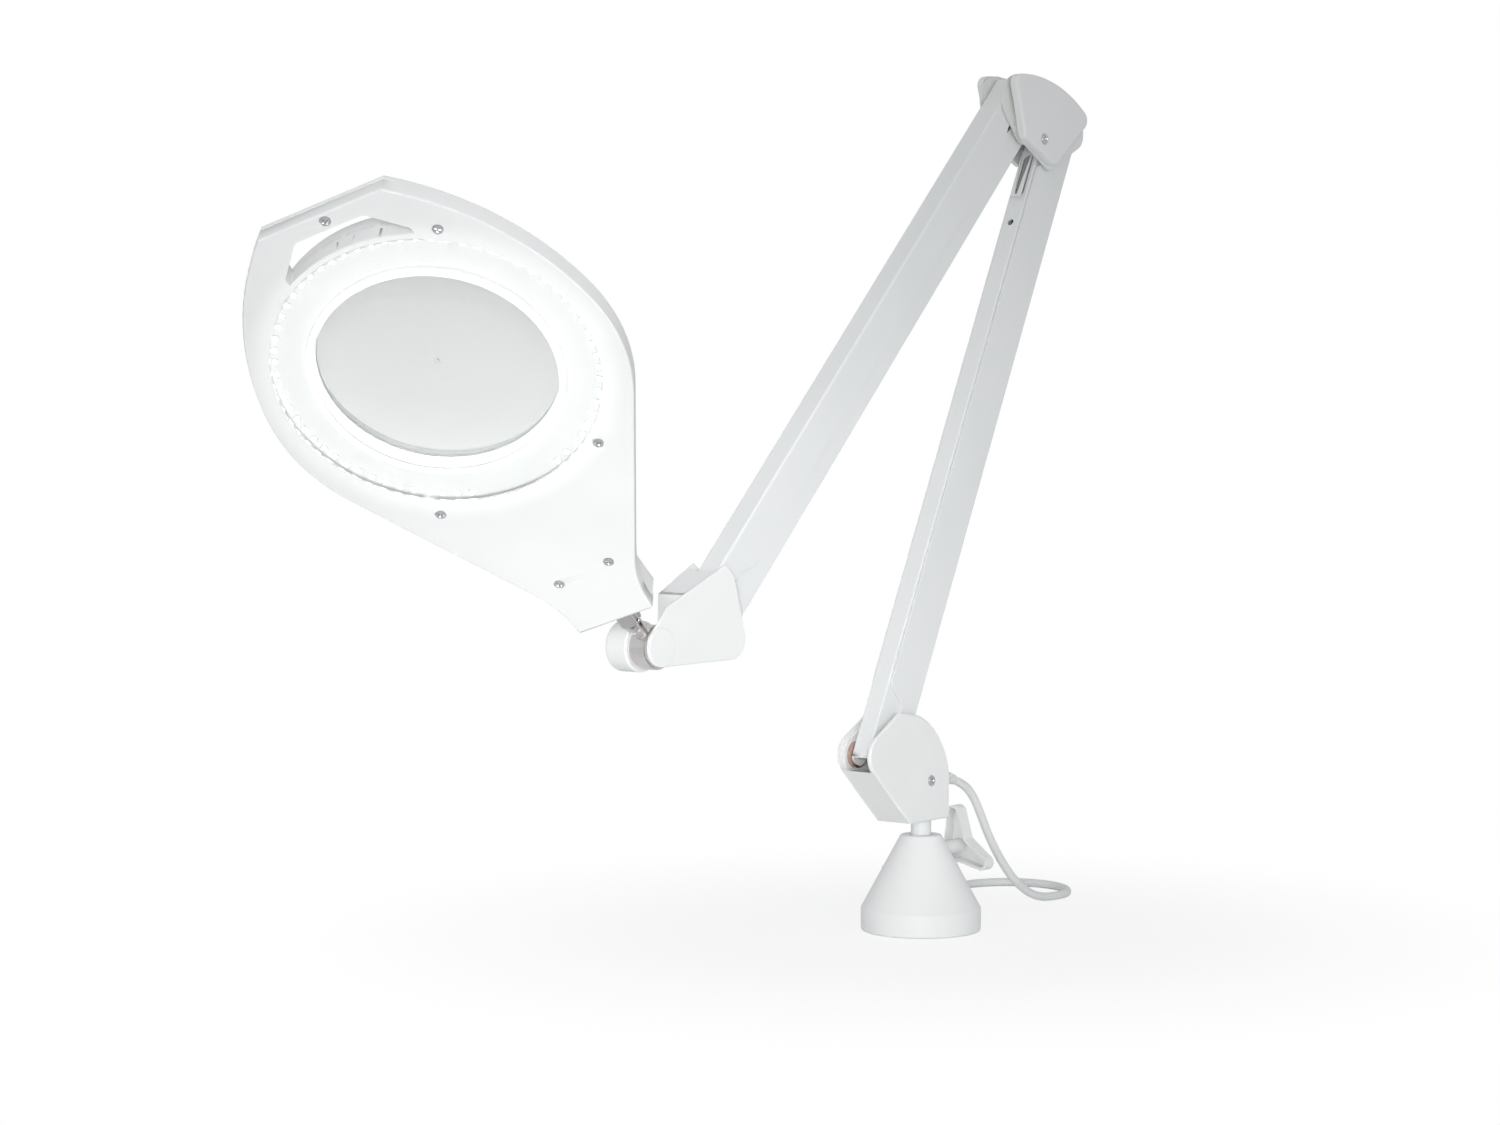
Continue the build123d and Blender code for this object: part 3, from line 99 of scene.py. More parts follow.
def makeCamera():
    data = bpy.data.cameras.new("studioCamera")
    data.lens = shot["lens"]
    data.sensor_width = 36
    data.clip_start, data.clip_end = 0.05, 50
    camera = bpy.data.objects.new("studioCamera", data)
    camera.location = shot["place"]
    camera.rotation_euler = Vector(shot["toward"]).to_track_quat("-Z", "Y").to_euler()
    scene.collection.objects.link(camera)
    scene.camera = camera


makeCamera()
print("camera set")


# Material tools
class Wire:
    # a shader socket, or a number, that can stand in a sum
    def __init__(self, finish, source):
        self.finish = finish
        self.source = source

    def sum(self, operation, other, flip=False):
        pair = (other, self) if flip else (self, other)
        return self.finish.node("ShaderNodeMath", {"operation": operation}, {0: pair[0], 1: pair[1]})

    def __add__(self, other):
        return self.sum("ADD", other)

    def __radd__(self, other):
        return self.sum("ADD", other, True)

    def __sub__(self, other):
        return self.sum("SUBTRACT", other)

    def __mul__(self, other):
        return self.sum("MULTIPLY", other)

    def __rmul__(self, other):
        return self.sum("MULTIPLY", other, True)

    def __pow__(self, other):
        return self.sum("POWER", other)


class Finish:
    # one material: its principled shader and the few nodes that feed it
    def __init__(self, name, **constants):
        self.material = bpy.data.materials.new(name)
        self.material.use_nodes = True
        self.tree = self.material.node_tree
        self.tree.nodes.clear()
        self.output = self.tree.nodes.new("ShaderNodeOutputMaterial")
        self.shader = self.tree.nodes.new("ShaderNodeBsdfPrincipled")
        self.tree.links.new(self.shader.outputs[0], self.output.inputs[0])
        self.feed(self.shader, constants)

    def feed(self, node, values):
        for key, value in values.items():
            socket = node.inputs[key.replace("_", " ") if isinstance(key, str) else key]
            if isinstance(value, Wire):
                self.tree.links.new(value.source, socket)
            else:
                socket.default_value = value

    def node(self, kind, settings=None, values=None, take=0):
        made = self.tree.nodes.new(kind)
        for key, value in (settings or {}).items():
            setattr(made, key, value)
        self.feed(made, values or {})
        return Wire(self, made.outputs[take])

    def place(self, scale=(1, 1, 1), turn=(0, 0, 0), shift=(0, 0, 0)):
        spot = self.node("ShaderNodeTexCoord", take="Object")
        values = {"Vector": spot, "Scale": scale, "Rotation": turn, "Location": shift}
        return self.node("ShaderNodeMapping", None, values)

    def noise(self, scale, detail=2.0, rough=0.5, at=None):
        values = {"Vector": at or self.place(), "Scale": scale, "Detail": detail, "Roughness": rough}
        return self.node("ShaderNodeTexNoise", None, values)

    def spread(self, value, low, high, toLow=0.0, toHigh=1.0):
        values = {"Value": value, "From Min": low, "From Max": high, "To Min": toLow, "To Max": toHigh}
        return self.node("ShaderNodeMapRange", {"interpolation_type": "SMOOTHSTEP"}, values)

    def blendTones(self, share, first, second):
        return self.node("ShaderNodeMix", {"data_type": "RGBA"}, {0: share, 6: first, 7: second}, 2)

    def bump(self, height, distance, strength=1.0, under=None):
        values = {"Height": height, "Distance": distance, "Strength": strength}
        if under:
            values["Normal"] = under
        return self.node("ShaderNodeBump", None, values)

    def wear(self, **links):
        self.feed(self.shader, links)
        return self.material


def tone(red, green, blue):
    return (red, green, blue, 1.0)


# Finishes, one for each slot
mouldedShell = {"colour": tone(0.865, 0.872, 0.868), "shade": tone(0.835, 0.845, 0.84),
                "sheen": 0.33, "grain": 2600, "depth": 0.00002}
knobPlastic = {**mouldedShell, "colour": tone(0.83, 0.838, 0.835), "sheen": 0.42, "grain": 1700}
switchPlastic = {**mouldedShell, "colour": tone(0.8, 0.8, 0.79), "sheen": 0.25, "grain": 1500}
# painted glow in the plastic, standing in for the diodes' light: its strength, the radii where it is full and
# gone, and its upper limit
paintedLidGlow = {"strength": 0.34, "inner": 0.072, "outer": 0.08, "top": 0.0238}
paintedShellGlow = {"strength": 0.12, "inner": 0.084, "outer": 0.1, "top": 0.0015}
paintedHousingGlow = {"strength": 0.42, "inner": 0.0858, "outer": 0.0866, "top": 0.012}
paintedCoverGlow = {"strength": 0.22, "inner": 0.0664, "outer": 0.0672, "top": 0.0125}


def makeMoulded(name, look, glow=None):
    finish = Finish(name, IOR=1.5, Coat_Weight=0.12, Coat_Roughness=0.12)
    cloud = finish.spread(finish.noise(14, 3), 0.35, 0.7)
    grain = finish.noise(look["grain"], 2, 0.6)
    ripple = finish.noise(70, 1)
    sheen = look["sheen"] + 0.1 * (finish.noise(45, 4) - 0.5) + 0.05 * (grain - 0.5)
    # the glow, when given, is painted light: emission in the plastic standing in for the diodes' light
    if glow:
        addPaintedGlow(finish, **glow)
    return finish.wear(
        Base_Color=finish.blendTones(cloud, look["colour"], look["shade"]),
        Roughness=sheen,
        Normal=finish.bump(grain, look["depth"], 0.55, finish.bump(ripple, 0.00012, 0.25)))


def inHead(finish):
    # object coordinates in the head's own frame, as three numbers
    back = head.inverted()
    spot = finish.place(turn=back.to_euler(), shift=back.translation)
    return [finish.node("ShaderNodeSeparateXYZ", None, {0: spot}, take) for take in range(3)]


def addPaintedGlow(finish, strength, inner, outer, top):
    # painted glow standing in for the diodes' light in the plastic: full inside one radius, gone at another,
    # only below a height
    x, y, z = inHead(finish)
    radius = (x * x + y * y) ** 0.5
    near = finish.spread(radius, inner, outer, 1.0, 0.0)
    share = near * finish.spread(z, top - 0.0004, top, 1.0, 0.0)
    finish.feed(finish.shader, {"Emission Strength": strength})
    return finish.wear(Emission_Color=finish.blendTones(share, tone(0, 0, 0), tone(1, 1, 0.99)))


powderCoat = {"colour": tone(0.84, 0.852, 0.848), "shade": tone(0.80, 0.815, 0.812),
              "sheen": 0.3, "peel": 950, "depth": 0.00005}


def makePowderCoat(name, look):
    finish = Finish(name, IOR=1.52, Coat_Weight=0.3, Coat_Roughness=0.16)
    peel = finish.node("ShaderNodeTexVoronoi", {"feature": "SMOOTH_F1"},
                       {"Vector": finish.place(), "Scale": look["peel"], "Smoothness": 0.8})
    wave = finish.noise(260, 2)
    scuff = finish.spread(finish.noise(36, 5, 0.65), 0.6, 0.78)
    cloud = finish.spread(finish.noise(9, 3), 0.3, 0.75)
    return finish.wear(
        Base_Color=finish.blendTones(cloud, look["colour"], look["shade"]),
        Roughness=look["sheen"] + 0.12 * scuff + 0.06 * (wave - 0.5),
        Normal=finish.bump(peel, look["depth"], 0.35, finish.bump(wave, 0.0001, 0.18)))


castPaint = {"colour": tone(0.80, 0.805, 0.8), "hollow": tone(0.68, 0.685, 0.68)}


def makeCastPaint(name):
    finish = Finish(name, IOR=1.5)
    sand = finish.noise(620, 4, 0.62)
    # the sand's low spots, where the bump sinks, are painted darker: painted shade in the hollows of the
    # grain
    raised = finish.spread(sand, 0.35, 0.6)
    return finish.wear(
        Base_Color=finish.blendTones(raised, castPaint["hollow"], castPaint["colour"]),
        Roughness=0.48 + 0.2 * sand,
        Normal=finish.bump(sand, 0.00025, 0.6))


def makeMetal(name, colour, dull, lines=(1, 1, 1), blotch=0.1, scratch=0.3):
    # lines stretches the fine scratches along one direction
    finish = Finish(name, Metallic=1.0)
    fine = finish.noise(900, 3, 0.6, finish.place(lines))
    patch = finish.noise(60, 4, 0.6)
    tint = tuple(channel * (1 - blotch) for channel in colour[:3]) + (1,)
    return finish.wear(
        Base_Color=finish.blendTones(finish.spread(patch, 0.35, 0.7), colour, tint),
        Roughness=dull + 0.14 * (fine - 0.5) + 0.1 * (patch - 0.5),
        Normal=finish.bump(fine, 0.00003, scratch))


def makeNylon(name, colour, dull=0.45):
    finish = Finish(name, IOR=1.53, Subsurface_Weight=0.08, Subsurface_Radius=(0.002, 0.002, 0.002))
    flow = finish.noise(320, 3)
    dark = tuple(channel * 0.93 for channel in colour[:3]) + (1,)
    return finish.wear(
        Base_Color=finish.blendTones(flow, colour, dark),
        Roughness=dull + 0.1 * (flow - 0.5),
        Normal=finish.bump(flow, 0.00005, 0.4))


lensLook = {"colour": tone(0.972, 0.982, 0.98), "smeared": tone(0.955, 0.968, 0.966),
            "refraction": 1.52, "smear": 0.02}


def makeLensGlass(name):
    finish = Finish(name, IOR=lensLook["refraction"], Transmission_Weight=1.0)
    smear = finish.spread(finish.noise(38, 4, 0.6), 0.5, 0.8)
    return finish.wear(
        Base_Color=finish.blendTones(smear, lensLook["colour"], lensLook["smeared"]),
        Roughness=lensLook["smear"] * smear)


def makeClearCover(name):
    # clear acrylic with a lightly frosted inner face
    finish = Finish(name, IOR=1.49, Transmission_Weight=0.9)
    frost = finish.noise(1500, 2)
    # painted glow in the cover beside the diodes, standing in for their light
    addPaintedGlow(finish, **paintedCoverGlow)
    return finish.wear(
        Base_Color=finish.blendTones(frost, tone(0.97, 0.98, 0.98), tone(0.94, 0.955, 0.955)),
        Roughness=0.16 + 0.14 * frost,
        Normal=finish.bump(frost, 0.00002, 0.3))


# glow and strength give the board's painted glow: emission standing in for the light of its diodes
boardLook = {"mask": tone(0.88, 0.89, 0.885), "track": tone(0.72, 0.76, 0.72),
             "glow": tone(1, 0.995, 0.98), "strength": 0.57}


def makeBoard(name):
    # white solder mask with faint copper tracks under it; its emission is a painted glow standing in for the
    # light of its diodes
    finish = Finish(name, IOR=1.5, Coat_Weight=0.3, Coat_Roughness=0.2,
                    Emission_Color=boardLook["glow"], Emission_Strength=boardLook["strength"])
    track = finish.node("ShaderNodeTexBrick", {"offset": 0.37},
                        {"Vector": finish.place((60, 60, 60)), "Scale": 3.0, "Mortar Size": 0.06}, 1)
    grain = finish.noise(700, 2)
    return finish.wear(
        Base_Color=finish.blendTones(0.35 * track, boardLook["mask"], boardLook["track"]),
        Roughness=0.38 + 0.1 * grain,
        Normal=finish.bump(track, 0.00004, 0.4))


ledLook = {"glow": tone(1.0, 0.985, 0.955), "edge": tone(1.0, 0.97, 0.9), "strength": 8.0,
           "phosphor": tone(0.95, 0.9, 0.62), "dark": tone(0.93, 0.86, 0.5)}


def makeGlow(name):
    finish = Finish(name, Roughness=0.5, Emission_Strength=ledLook["strength"])
    speck = finish.noise(2200, 2)
    return finish.wear(
        Base_Color=finish.blendTones(speck, ledLook["phosphor"], ledLook["dark"]),
        Emission_Color=finish.blendTones(speck, ledLook["glow"], ledLook["edge"]))


cordLook = {"colour": tone(0.79, 0.8, 0.795), "shade": tone(0.73, 0.74, 0.735)}
plugLook = {"colour": tone(0.8, 0.805, 0.8), "shade": tone(0.76, 0.765, 0.76)}


def makeVinyl(name, look):
    finish = Finish(name, IOR=1.48, Coat_Weight=0.08, Coat_Roughness=0.3)
    skin = finish.noise(500, 3)
    soil = finish.spread(finish.noise(28, 4, 0.6), 0.4, 0.75)
    return finish.wear(
        Base_Color=finish.blendTones(soil, look["colour"], look["shade"]),
        Roughness=0.42 + 0.14 * (skin - 0.5),
        Normal=finish.bump(skin, 0.00006, 0.45))


def makeFinishes():
    return {
        "white_shell": makeMoulded("whiteShell", mouldedShell),
        "knob_plastic": makeMoulded("knobPlastic", knobPlastic),
        "white_paint": makePowderCoat("whitePaint", powderCoat),
        "cast_base": makeCastPaint("castBase"),
        "spring_steel": makeMetal("springSteel", tone(0.52, 0.52, 0.54), 0.3),
        "bright_steel": makeMetal("brightSteel", tone(0.74, 0.74, 0.75), 0.24),
        "chrome_strap": makeMetal("chromeStrap", tone(0.93, 0.9, 0.885), 0.15, (1, 7, 1), 0.05, 0.12),
        "neck_steel": makeMetal("neckSteel", tone(0.66, 0.65, 0.64), 0.2, (8, 1, 8)),
        "nylon": makeNylon("nylon", tone(0.84, 0.84, 0.82)),
        "lens_glass": makeLensGlass("lensGlass"),
        "clear_cover": makeClearCover("clearCover"),
        "circuit_board": makeBoard("circuitBoard"),
        "led": makeGlow("ledGlow"),
        "switch_plastic": makeMoulded("switchPlastic", switchPlastic),
        "cord_sheath": makeVinyl("cordSheath", cordLook),
        "plug_plastic": makeVinyl("plugPlastic", plugLook),
    }


finishes = makeFinishes()
# the lid's plastic carries a painted glow on its underside about the lens, standing in for light through it
lidWithPaintedGlow = makeMoulded("lidWithPaintedGlow", mouldedShell, paintedLidGlow)
# the lower shell carries a painted glow near the diode ring, fading outward
shellWithPaintedGlow = makeMoulded("shellWithPaintedGlow", mouldedShell, paintedShellGlow)
# the lens housing's wall beside the diodes carries a painted glow
housingWithPaintedGlow = makeMoulded("housingWithPaintedGlow", mouldedShell, paintedHousingGlow)
bronze = makeMetal("bronzeBush", tone(0.66, 0.47, 0.42), 0.34)


def dressFrame():
    made = {finish.name for finish in finishes.values()}
    for node in cadNodes.values():
        for slot in node.material_slots:
            name = slot.material.name.split(".")[0]
            if name in finishes:
                slot.material = finishes[name]
            elif slot.material.name not in made:
                print("no finish for", node.name, slot.material.name)


dressFrame()
cadNodes["lens_lid"].material_slots[0].material = lidWithPaintedGlow
print("finishes made:", len(finishes))


# Mesh tools
def toPiece(bm, name, body, slot, matrix=None, smooth=True, extra=()):
    # a finished mesh at the origin, riding on its body
    if matrix is not None:
        bm.transform(matrix)
        if matrix.determinant() < 0:
            bmesh.ops.reverse_faces(bm, faces=bm.faces)
    bmesh.ops.recalc_face_normals(bm, faces=bm.faces)
    mesh = bpy.data.meshes.new(name)
    bm.to_mesh(mesh)
    bm.free()
    for material in [finishes[slot], *extra]:
        mesh.materials.append(material)
    mesh.polygons.foreach_set("use_smooth", [smooth] * len(mesh.polygons))
    piece = bpy.data.objects.new(name, mesh)
    scene.collection.objects.link(piece)
    if body:
        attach(piece, body)
    return piece


def creaseBy(piece, degrees):
    piece.data.set_sharp_from_angle(angle=math.radians(degrees))


def turned(profile, segments=48):
    # profile points (radius, height) turned about Z; points on the axis are merged
    bm = bmesh.new()
    line = [bm.verts.new((radius, 0, height)) for radius, height in profile]
    edges = [bm.edges.new(pair) for pair in zip(line, line[1:])]
    bmesh.ops.spin(bm, geom=line + edges, cent=(0, 0, 0), axis=(0, 0, 1), angle=math.tau, steps=segments,
                   use_merge=True, use_duplicate=False)
    bmesh.ops.remove_doubles(bm, verts=bm.verts, dist=1e-7)
    return bm


def joinInto(bm, other, material=0):
    # adds a second mesh, all of it in one material
    kept = {vert: bm.verts.new(vert.co) for vert in other.verts}
    for face in other.faces:
        bm.faces.new([kept[vert] for vert in face.verts]).material_index = material
    other.free()


def prism(outline, low, high):
    # a closed outline (x, y) made solid between two heights
    bm = bmesh.new()
    face = bm.faces.new([bm.verts.new((x, y, low)) for x, y in outline])
    raised = bmesh.ops.extrude_face_region(bm, geom=[face])["geom"]
    verts = [item for item in raised if isinstance(item, bmesh.types.BMVert)]
    bmesh.ops.translate(bm, verts=verts, vec=(0, 0, high - low))
    bmesh.ops.recalc_face_normals(bm, faces=bm.faces)
    return bm


def arcThrough(centre, radius, fromDegrees, toDegrees, steps):
    swing = toDegrees - fromDegrees
    angles = [math.radians(fromDegrees + swing * index / steps) for index in range(steps + 1)]
    return [(centre[0] + radius * math.cos(angle), centre[1] + radius * math.sin(angle)) for angle in angles]


def disc(centre, radius, low, high, steps=30):
    # a round bar between two heights
    return prism(arcThrough(centre, radius, 0, 360 - 360 / steps, steps - 1), low, high)


def band(inside, outside, low, high):
    # closed profile of a flat ring, to be turned
    return [(inside, low), (outside, low), (outside, high), (inside, high), (inside, low)]


def rounded(corners, steps=8):
    # an outline from corners (x, y, radius), each with its own fillet
    outline = []
    for index, (x, y, radius) in enumerate(corners):
        here = Vector((x, y))
        before = (Vector(corners[index - 1][:2]) - here).normalized()
        after = (Vector(corners[(index + 1) % len(corners)][:2]) - here).normalized()
        if radius == 0:
            outline.append((x, y))
            continue
        half = before.angle(after) / 2
        middle = here + (before + after).normalized() * radius / math.sin(half)
        start = here + before * radius / math.tan(half)
        end = here + after * radius / math.tan(half)
        first = start - middle
        swing = -first.angle_signed(end - middle)
        for step in range(steps + 1):
            outline.append(tuple(middle + Matrix.Rotation(swing * step / steps, 2) @ first))
    return outline


def looseObject(bm, name="tool"):
    mesh = bpy.data.meshes.new(name)
    bm.to_mesh(mesh)
    bm.free()
    made = bpy.data.objects.new(name, mesh)
    scene.collection.objects.link(made)
    return made


def evaluated(item):
    # the mesh of an object with its modifiers worked in
    return bpy.data.meshes.new_from_object(item.evaluated_get(bpy.context.evaluated_depsgraph_get()))


def combined(bm, *steps):
    # booleans one after another: each step is an operation and a closed mesh
    base = looseObject(bm, "base")
    for operation, other in steps:
        tool = looseObject(other)
        modifier = base.modifiers.new("step", "BOOLEAN")
        modifier.operation, modifier.solver, modifier.object = operation, "EXACT", tool
        shaped = evaluated(base)
        base.modifiers.clear()
        base.data = shaped
        bpy.data.objects.remove(tool)
    result = bmesh.new()
    result.from_mesh(base.data)
    bpy.data.objects.remove(base)
    return result


def meshOf(node, matrix):
    # a closed copy of one of the frame's meshes in a local frame
    bm = bmesh.new()
    bm.from_mesh(cadNodes[node].data)
    bmesh.ops.remove_doubles(bm, verts=bm.verts, dist=1e-6)
    bm.transform(matrix.inverted())
    return bm


def flatten(piece, degrees=35):
    # sharp edges by angle, and normals that follow the large faces
    creaseBy(piece, degrees)
    modifier = piece.modifiers.new("faceNormals", "WEIGHTED_NORMAL")
    modifier.keep_sharp = True
    shaped = evaluated(piece)
    piece.modifiers.clear()
    piece.data = shaped


# Head shells: the frame's own, with the wider lens housing and the tapered hand slot
housing = {"inside": 0.0732, "outside": 0.0879, "low": 0.0125, "top": 0.023, "round": 0.0025, "segments": 128,
           "hingeSide": 0.0135, "hingeBack": 0.0922, "hingeTop": 0.04}
# the old values are those of the slot and the screws that are filled first
handSlot = {"inner": 0.0888, "outer": 0.1021, "flat": 0.020, "half": 0.037, "taper": 0.0172, "run": 0.004,
            "wall": 0.0022, "round": 0.002, "oldHalf": 0.0355}
shellHeights = {"split": 0.0085, "plate": 0.013, "clear": 0.001, "above": 0.03}
headScrews = {"radius": 0.0029, "height": 0.0013, "sink": 0.001, "play": 0.0002, "turn": 37, "firstTurn": 12,
              "oldRadius": 0.0039, "oldDepth": 0.003,
              "places": [(0.10685, 0.0008), (0.0785, 0.0487), (-0.0754, 0.0534), (-0.0829, -0.0473),
                         (-0.1506, 0.0175), (-0.1537, -0.0148)],
              "oldPlaces": [(0.106, 0.002), (0.078, -0.046), (-0.076, -0.0505), (-0.083, 0.051),
                            (-0.152, -0.018), (-0.154, 0.018)]}


def slotOutline(grow, wide=None):
    # tapered crescent between the lens housing and the tip
    inner, outer = handSlot["inner"] - grow, handSlot["outer"] + grow
    half = handSlot["half"] + grow
    corner = handSlot["flat"] + grow if wide is None else wide
    reach = math.degrees(math.asin(half / inner))
    radius, taperX = handSlot["round"], outer - handSlot["taper"]
    start = taperX - handSlot["run"]
    bend = rounded([(start, -half, 0), (taperX, -half, radius), (outer, -corner, 3 * radius),
                    (outer, corner, 3 * radius), (taperX, half, radius), (start, half, 0)])
    limit = inner * math.cos(math.radians(reach)) + 1e-5
    return arcThrough((0, 0), inner, reach, -reach, 40) + [point for point in bend if point[0] > limit]


def housingRing():
    # raised ring about the lens, cut back at the lid's hinge
    inside, outside, low, top = (housing[key] for key in ("inside", "outside", "low", "top"))
    edge, side, back = housing["round"], housing["hingeSide"], housing["hingeBack"]
    profile = [(inside, low), (outside, low), (outside, top - edge)]
    profile += arcThrough((outside - edge, top - edge), edge, 0, 90, 6)[1:]
    profile += [(inside, top), (inside, low)]
    hinge = prism([(-back, -side), (-inside, -side), (-inside, side), (-back, side)],
                  shellHeights["plate"] + 1e-5, housing["hingeTop"])
    return combined(turned(profile, housing["segments"]), ("DIFFERENCE", hinge))


def screwSeats():
    # fills the old screw holes and sinks the new ones
    steps, seat = [], headScrews["radius"] + headScrews["play"]
    for place in headScrews["oldPlaces"]:
        steps.append(("UNION", disc(place, headScrews["oldRadius"], 0, headScrews["oldDepth"], 24)))
    for place in headScrews["places"]:
        steps.append(("DIFFERENCE", disc(place, seat, -shellHeights["clear"], headScrews["sink"])))
    return steps


def makeHeadShell(name, node, low, high, changes, look):
    filled = prism(slotOutline(handSlot["wall"], handSlot["oldHalf"]), low, high)
    opened = prism(slotOutline(0), -shellHeights["clear"], shellHeights["above"])
    bm = combined(meshOf(node, head), ("UNION", filled), *changes, ("DIFFERENCE", opened))
    piece = toPiece(bm, name, "head", "white_shell", head)
    piece.data.materials[0] = look
    flatten(piece)
    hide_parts(node)
    print("shell", name, len(piece.data.polygons))


def screwHead(radius, height):
    # pan head with a cross recess, its seat at height 0
    bm = turned([(0, 0), (radius, 0), (radius, height * 0.45), (radius * 0.9, height * 0.78),
                 (radius * 0.68, height * 0.95), (0, height)], 32)
    for long, wide in ((radius * 0.62, radius * 0.13), (radius * 0.13, radius * 0.62)):
        outline = [(-long, -wide), (long, -wide), (long, wide), (-long, wide)]
        bm = combined(bm, ("DIFFERENCE", prism(outline, height * 0.42, height * 2)))
    return bm


def makeHeadScrews():
    bm = bmesh.new()
    for index, (x, y) in enumerate(headScrews["places"]):
        screw = screwHead(headScrews["radius"], headScrews["height"])
        spin = Matrix.Rotation(math.radians(headScrews["turn"] * index + headScrews["firstTurn"]), 4, "Z")
        seat = Matrix.Translation((x, y, headScrews["sink"]))
        screw.transform(seat @ Matrix.Rotation(math.pi, 4, "X") @ spin)
        joinInto(bm, screw)
    piece = toPiece(bm, "headScrewHeads", "head", "bright_steel", head)
    creaseBy(piece, 30)
    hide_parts("head_screws")


makeHeadShell("lowerHeadShell", "head_lower_shell", 0, shellHeights["split"], screwSeats(), shellWithPaintedGlow)
makeHeadShell("upperHeadShell", "head_upper_shell", shellHeights["split"], shellHeights["plate"],
              [("UNION", housingRing())], housingWithPaintedGlow)
makeHeadScrews()

# Board about the lens, with a painted glow
board = {"inside": 0.0675, "outside": 0.0864, "low": 0.0056, "high": 0.0072, "segments": 128}


def makeLedBoard():
    profile = band(board["inside"], board["outside"], board["low"], board["high"])
    piece = toPiece(turned(profile, board["segments"]), "ledBoard", "head", "circuit_board", head)
    creaseBy(piece, 40)
    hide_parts("led_board")


makeLedBoard()
print("lit board made")

# Side caps of the elbow, the wrist's top wall and its clamp knob, the lower inner channel
# the crown and the heel are arcs through three points (x, z) from the elbow's pivot
elbowCap = {"crown": ((-0.0745, 0.0325), (-0.034, 0.0315), (0.012, 0.009)),
            "heel": ((-0.0625, -0.007), (-0.0678, 0.012), (-0.0745, 0.0325)),
            "foot": (-0.028, -0.023), "rounds": (0.006, 0.0065, 0.006, 0.002), "clear": 0.009,
            "low": 0.0107, "high": 0.0162, "edge": 0.0022,
            "screw": (-0.042, -0.0064), "screwRadius": 0.0035, "sink": 0.0006}


def arcBetween(start, middle, end, steps, clear):
    # corners along the arc through three points, without those that lie closer than clear to either end
    (ax, ay), (bx, by), (cx, cy) = start, middle, end
    double = 2 * (ax * (by - cy) + bx * (cy - ay) + cx * (ay - by))
    a, b, c = ax * ax + ay * ay, bx * bx + by * by, cx * cx + cy * cy
    centreX = (a * (by - cy) + b * (cy - ay) + c * (ay - by)) / double
    centreY = (a * (cx - bx) + b * (ax - cx) + c * (bx - ax)) / double
    centre, first, last = Vector((centreX, centreY)), Vector(start), Vector(end)
    swing = -(first - centre).angle_signed(last - centre)
    corners = []
    for step in range(1, steps):
        point = centre + Matrix.Rotation(swing * step / steps, 2) @ (first - centre)
        if min((point - first).length, (point - last).length) > clear:
            corners.append((point.x, point.y, 0))
    return corners


def domedPlate(outline, low, high, edge, steps=5):
    # a plate whose upper edge is rounded
    bm = prism(outline, low, high - edge)
    top = max(bm.faces, key=lambda face: face.calc_center_median().z)
    for step in range(steps):
        before, after = math.pi / 2 * step / steps, math.pi / 2 * (step + 1) / steps
        bmesh.ops.inset_individual(bm, faces=[top], thickness=edge * (math.cos(before) - math.cos(after)),
                                   depth=edge * (math.sin(after) - math.sin(before)), use_even_offset=True)
    return bm


def makeElbowCaps():
    crown, heel, rounds, clear = elbowCap["crown"], elbowCap["heel"], elbowCap["rounds"], elbowCap["clear"]
    corners = [(*crown[0], rounds[0])] + arcBetween(*crown, 48, clear)
    corners += [(*crown[2], rounds[1]), (*elbowCap["foot"], rounds[2]), (*heel[0], rounds[3])]
    outline = rounded(corners + arcBetween(*heel, 12, clear))
    side = placing(jointAt("elbow_level"), Vector((1, 0, 0)), Vector((0, 0, 1)))
    high, sink = elbowCap["high"], elbowCap["sink"]
    for name, node, flip in (("nearElbowCap", "elbow_cap_near", 1), ("farElbowCap", "elbow_cap_far", -1)):
        recess = disc(elbowCap["screw"], elbowCap["screwRadius"], high - sink, high + 0.001)
        bm = combined(domedPlate(outline, elbowCap["low"], high, elbowCap["edge"]), ("DIFFERENCE", recess))
        piece = toPiece(bm, name, "elbow", "white_shell", side @ Matrix.Diagonal((1, 1, flip, 1)))
        flatten(piece, 32)
        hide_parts(node)


wristRoof = {"line": ((-0.025, 0.0018), (-0.002, 0.01443)), "thick": 0.002, "half": 0.0125}


def makeWristRoof():
    # a plate under a line (x, z) from the wrist's pivot
    (x0, z0), (x1, z1) = wristRoof["line"]
    along = Vector((x1 - x0, z1 - z0)).normalized() * wristRoof["thick"]
    outline = [(x0, z0), (x1, z1), (x1 + along.y, z1 - along.x), (x0 + along.y, z0 - along.x)]
    side = placing(jointAt("wrist_level"), Vector((1, 0, 0)), Vector((0, 0, 1)))
    plate = prism(outline, -wristRoof["half"], wristRoof["half"])
    toPiece(plate, "wristRoof", "wrist", "white_shell", side, smooth=False)


wristKnob = {"radius": 0.0145, "start": 0.0013, "thick": 0.016, "edge": 0.0026, "nearEdge": 0.0005,
             "bore": 0.0036, "boreDepth": 0.0085, "dish": 0.0006}


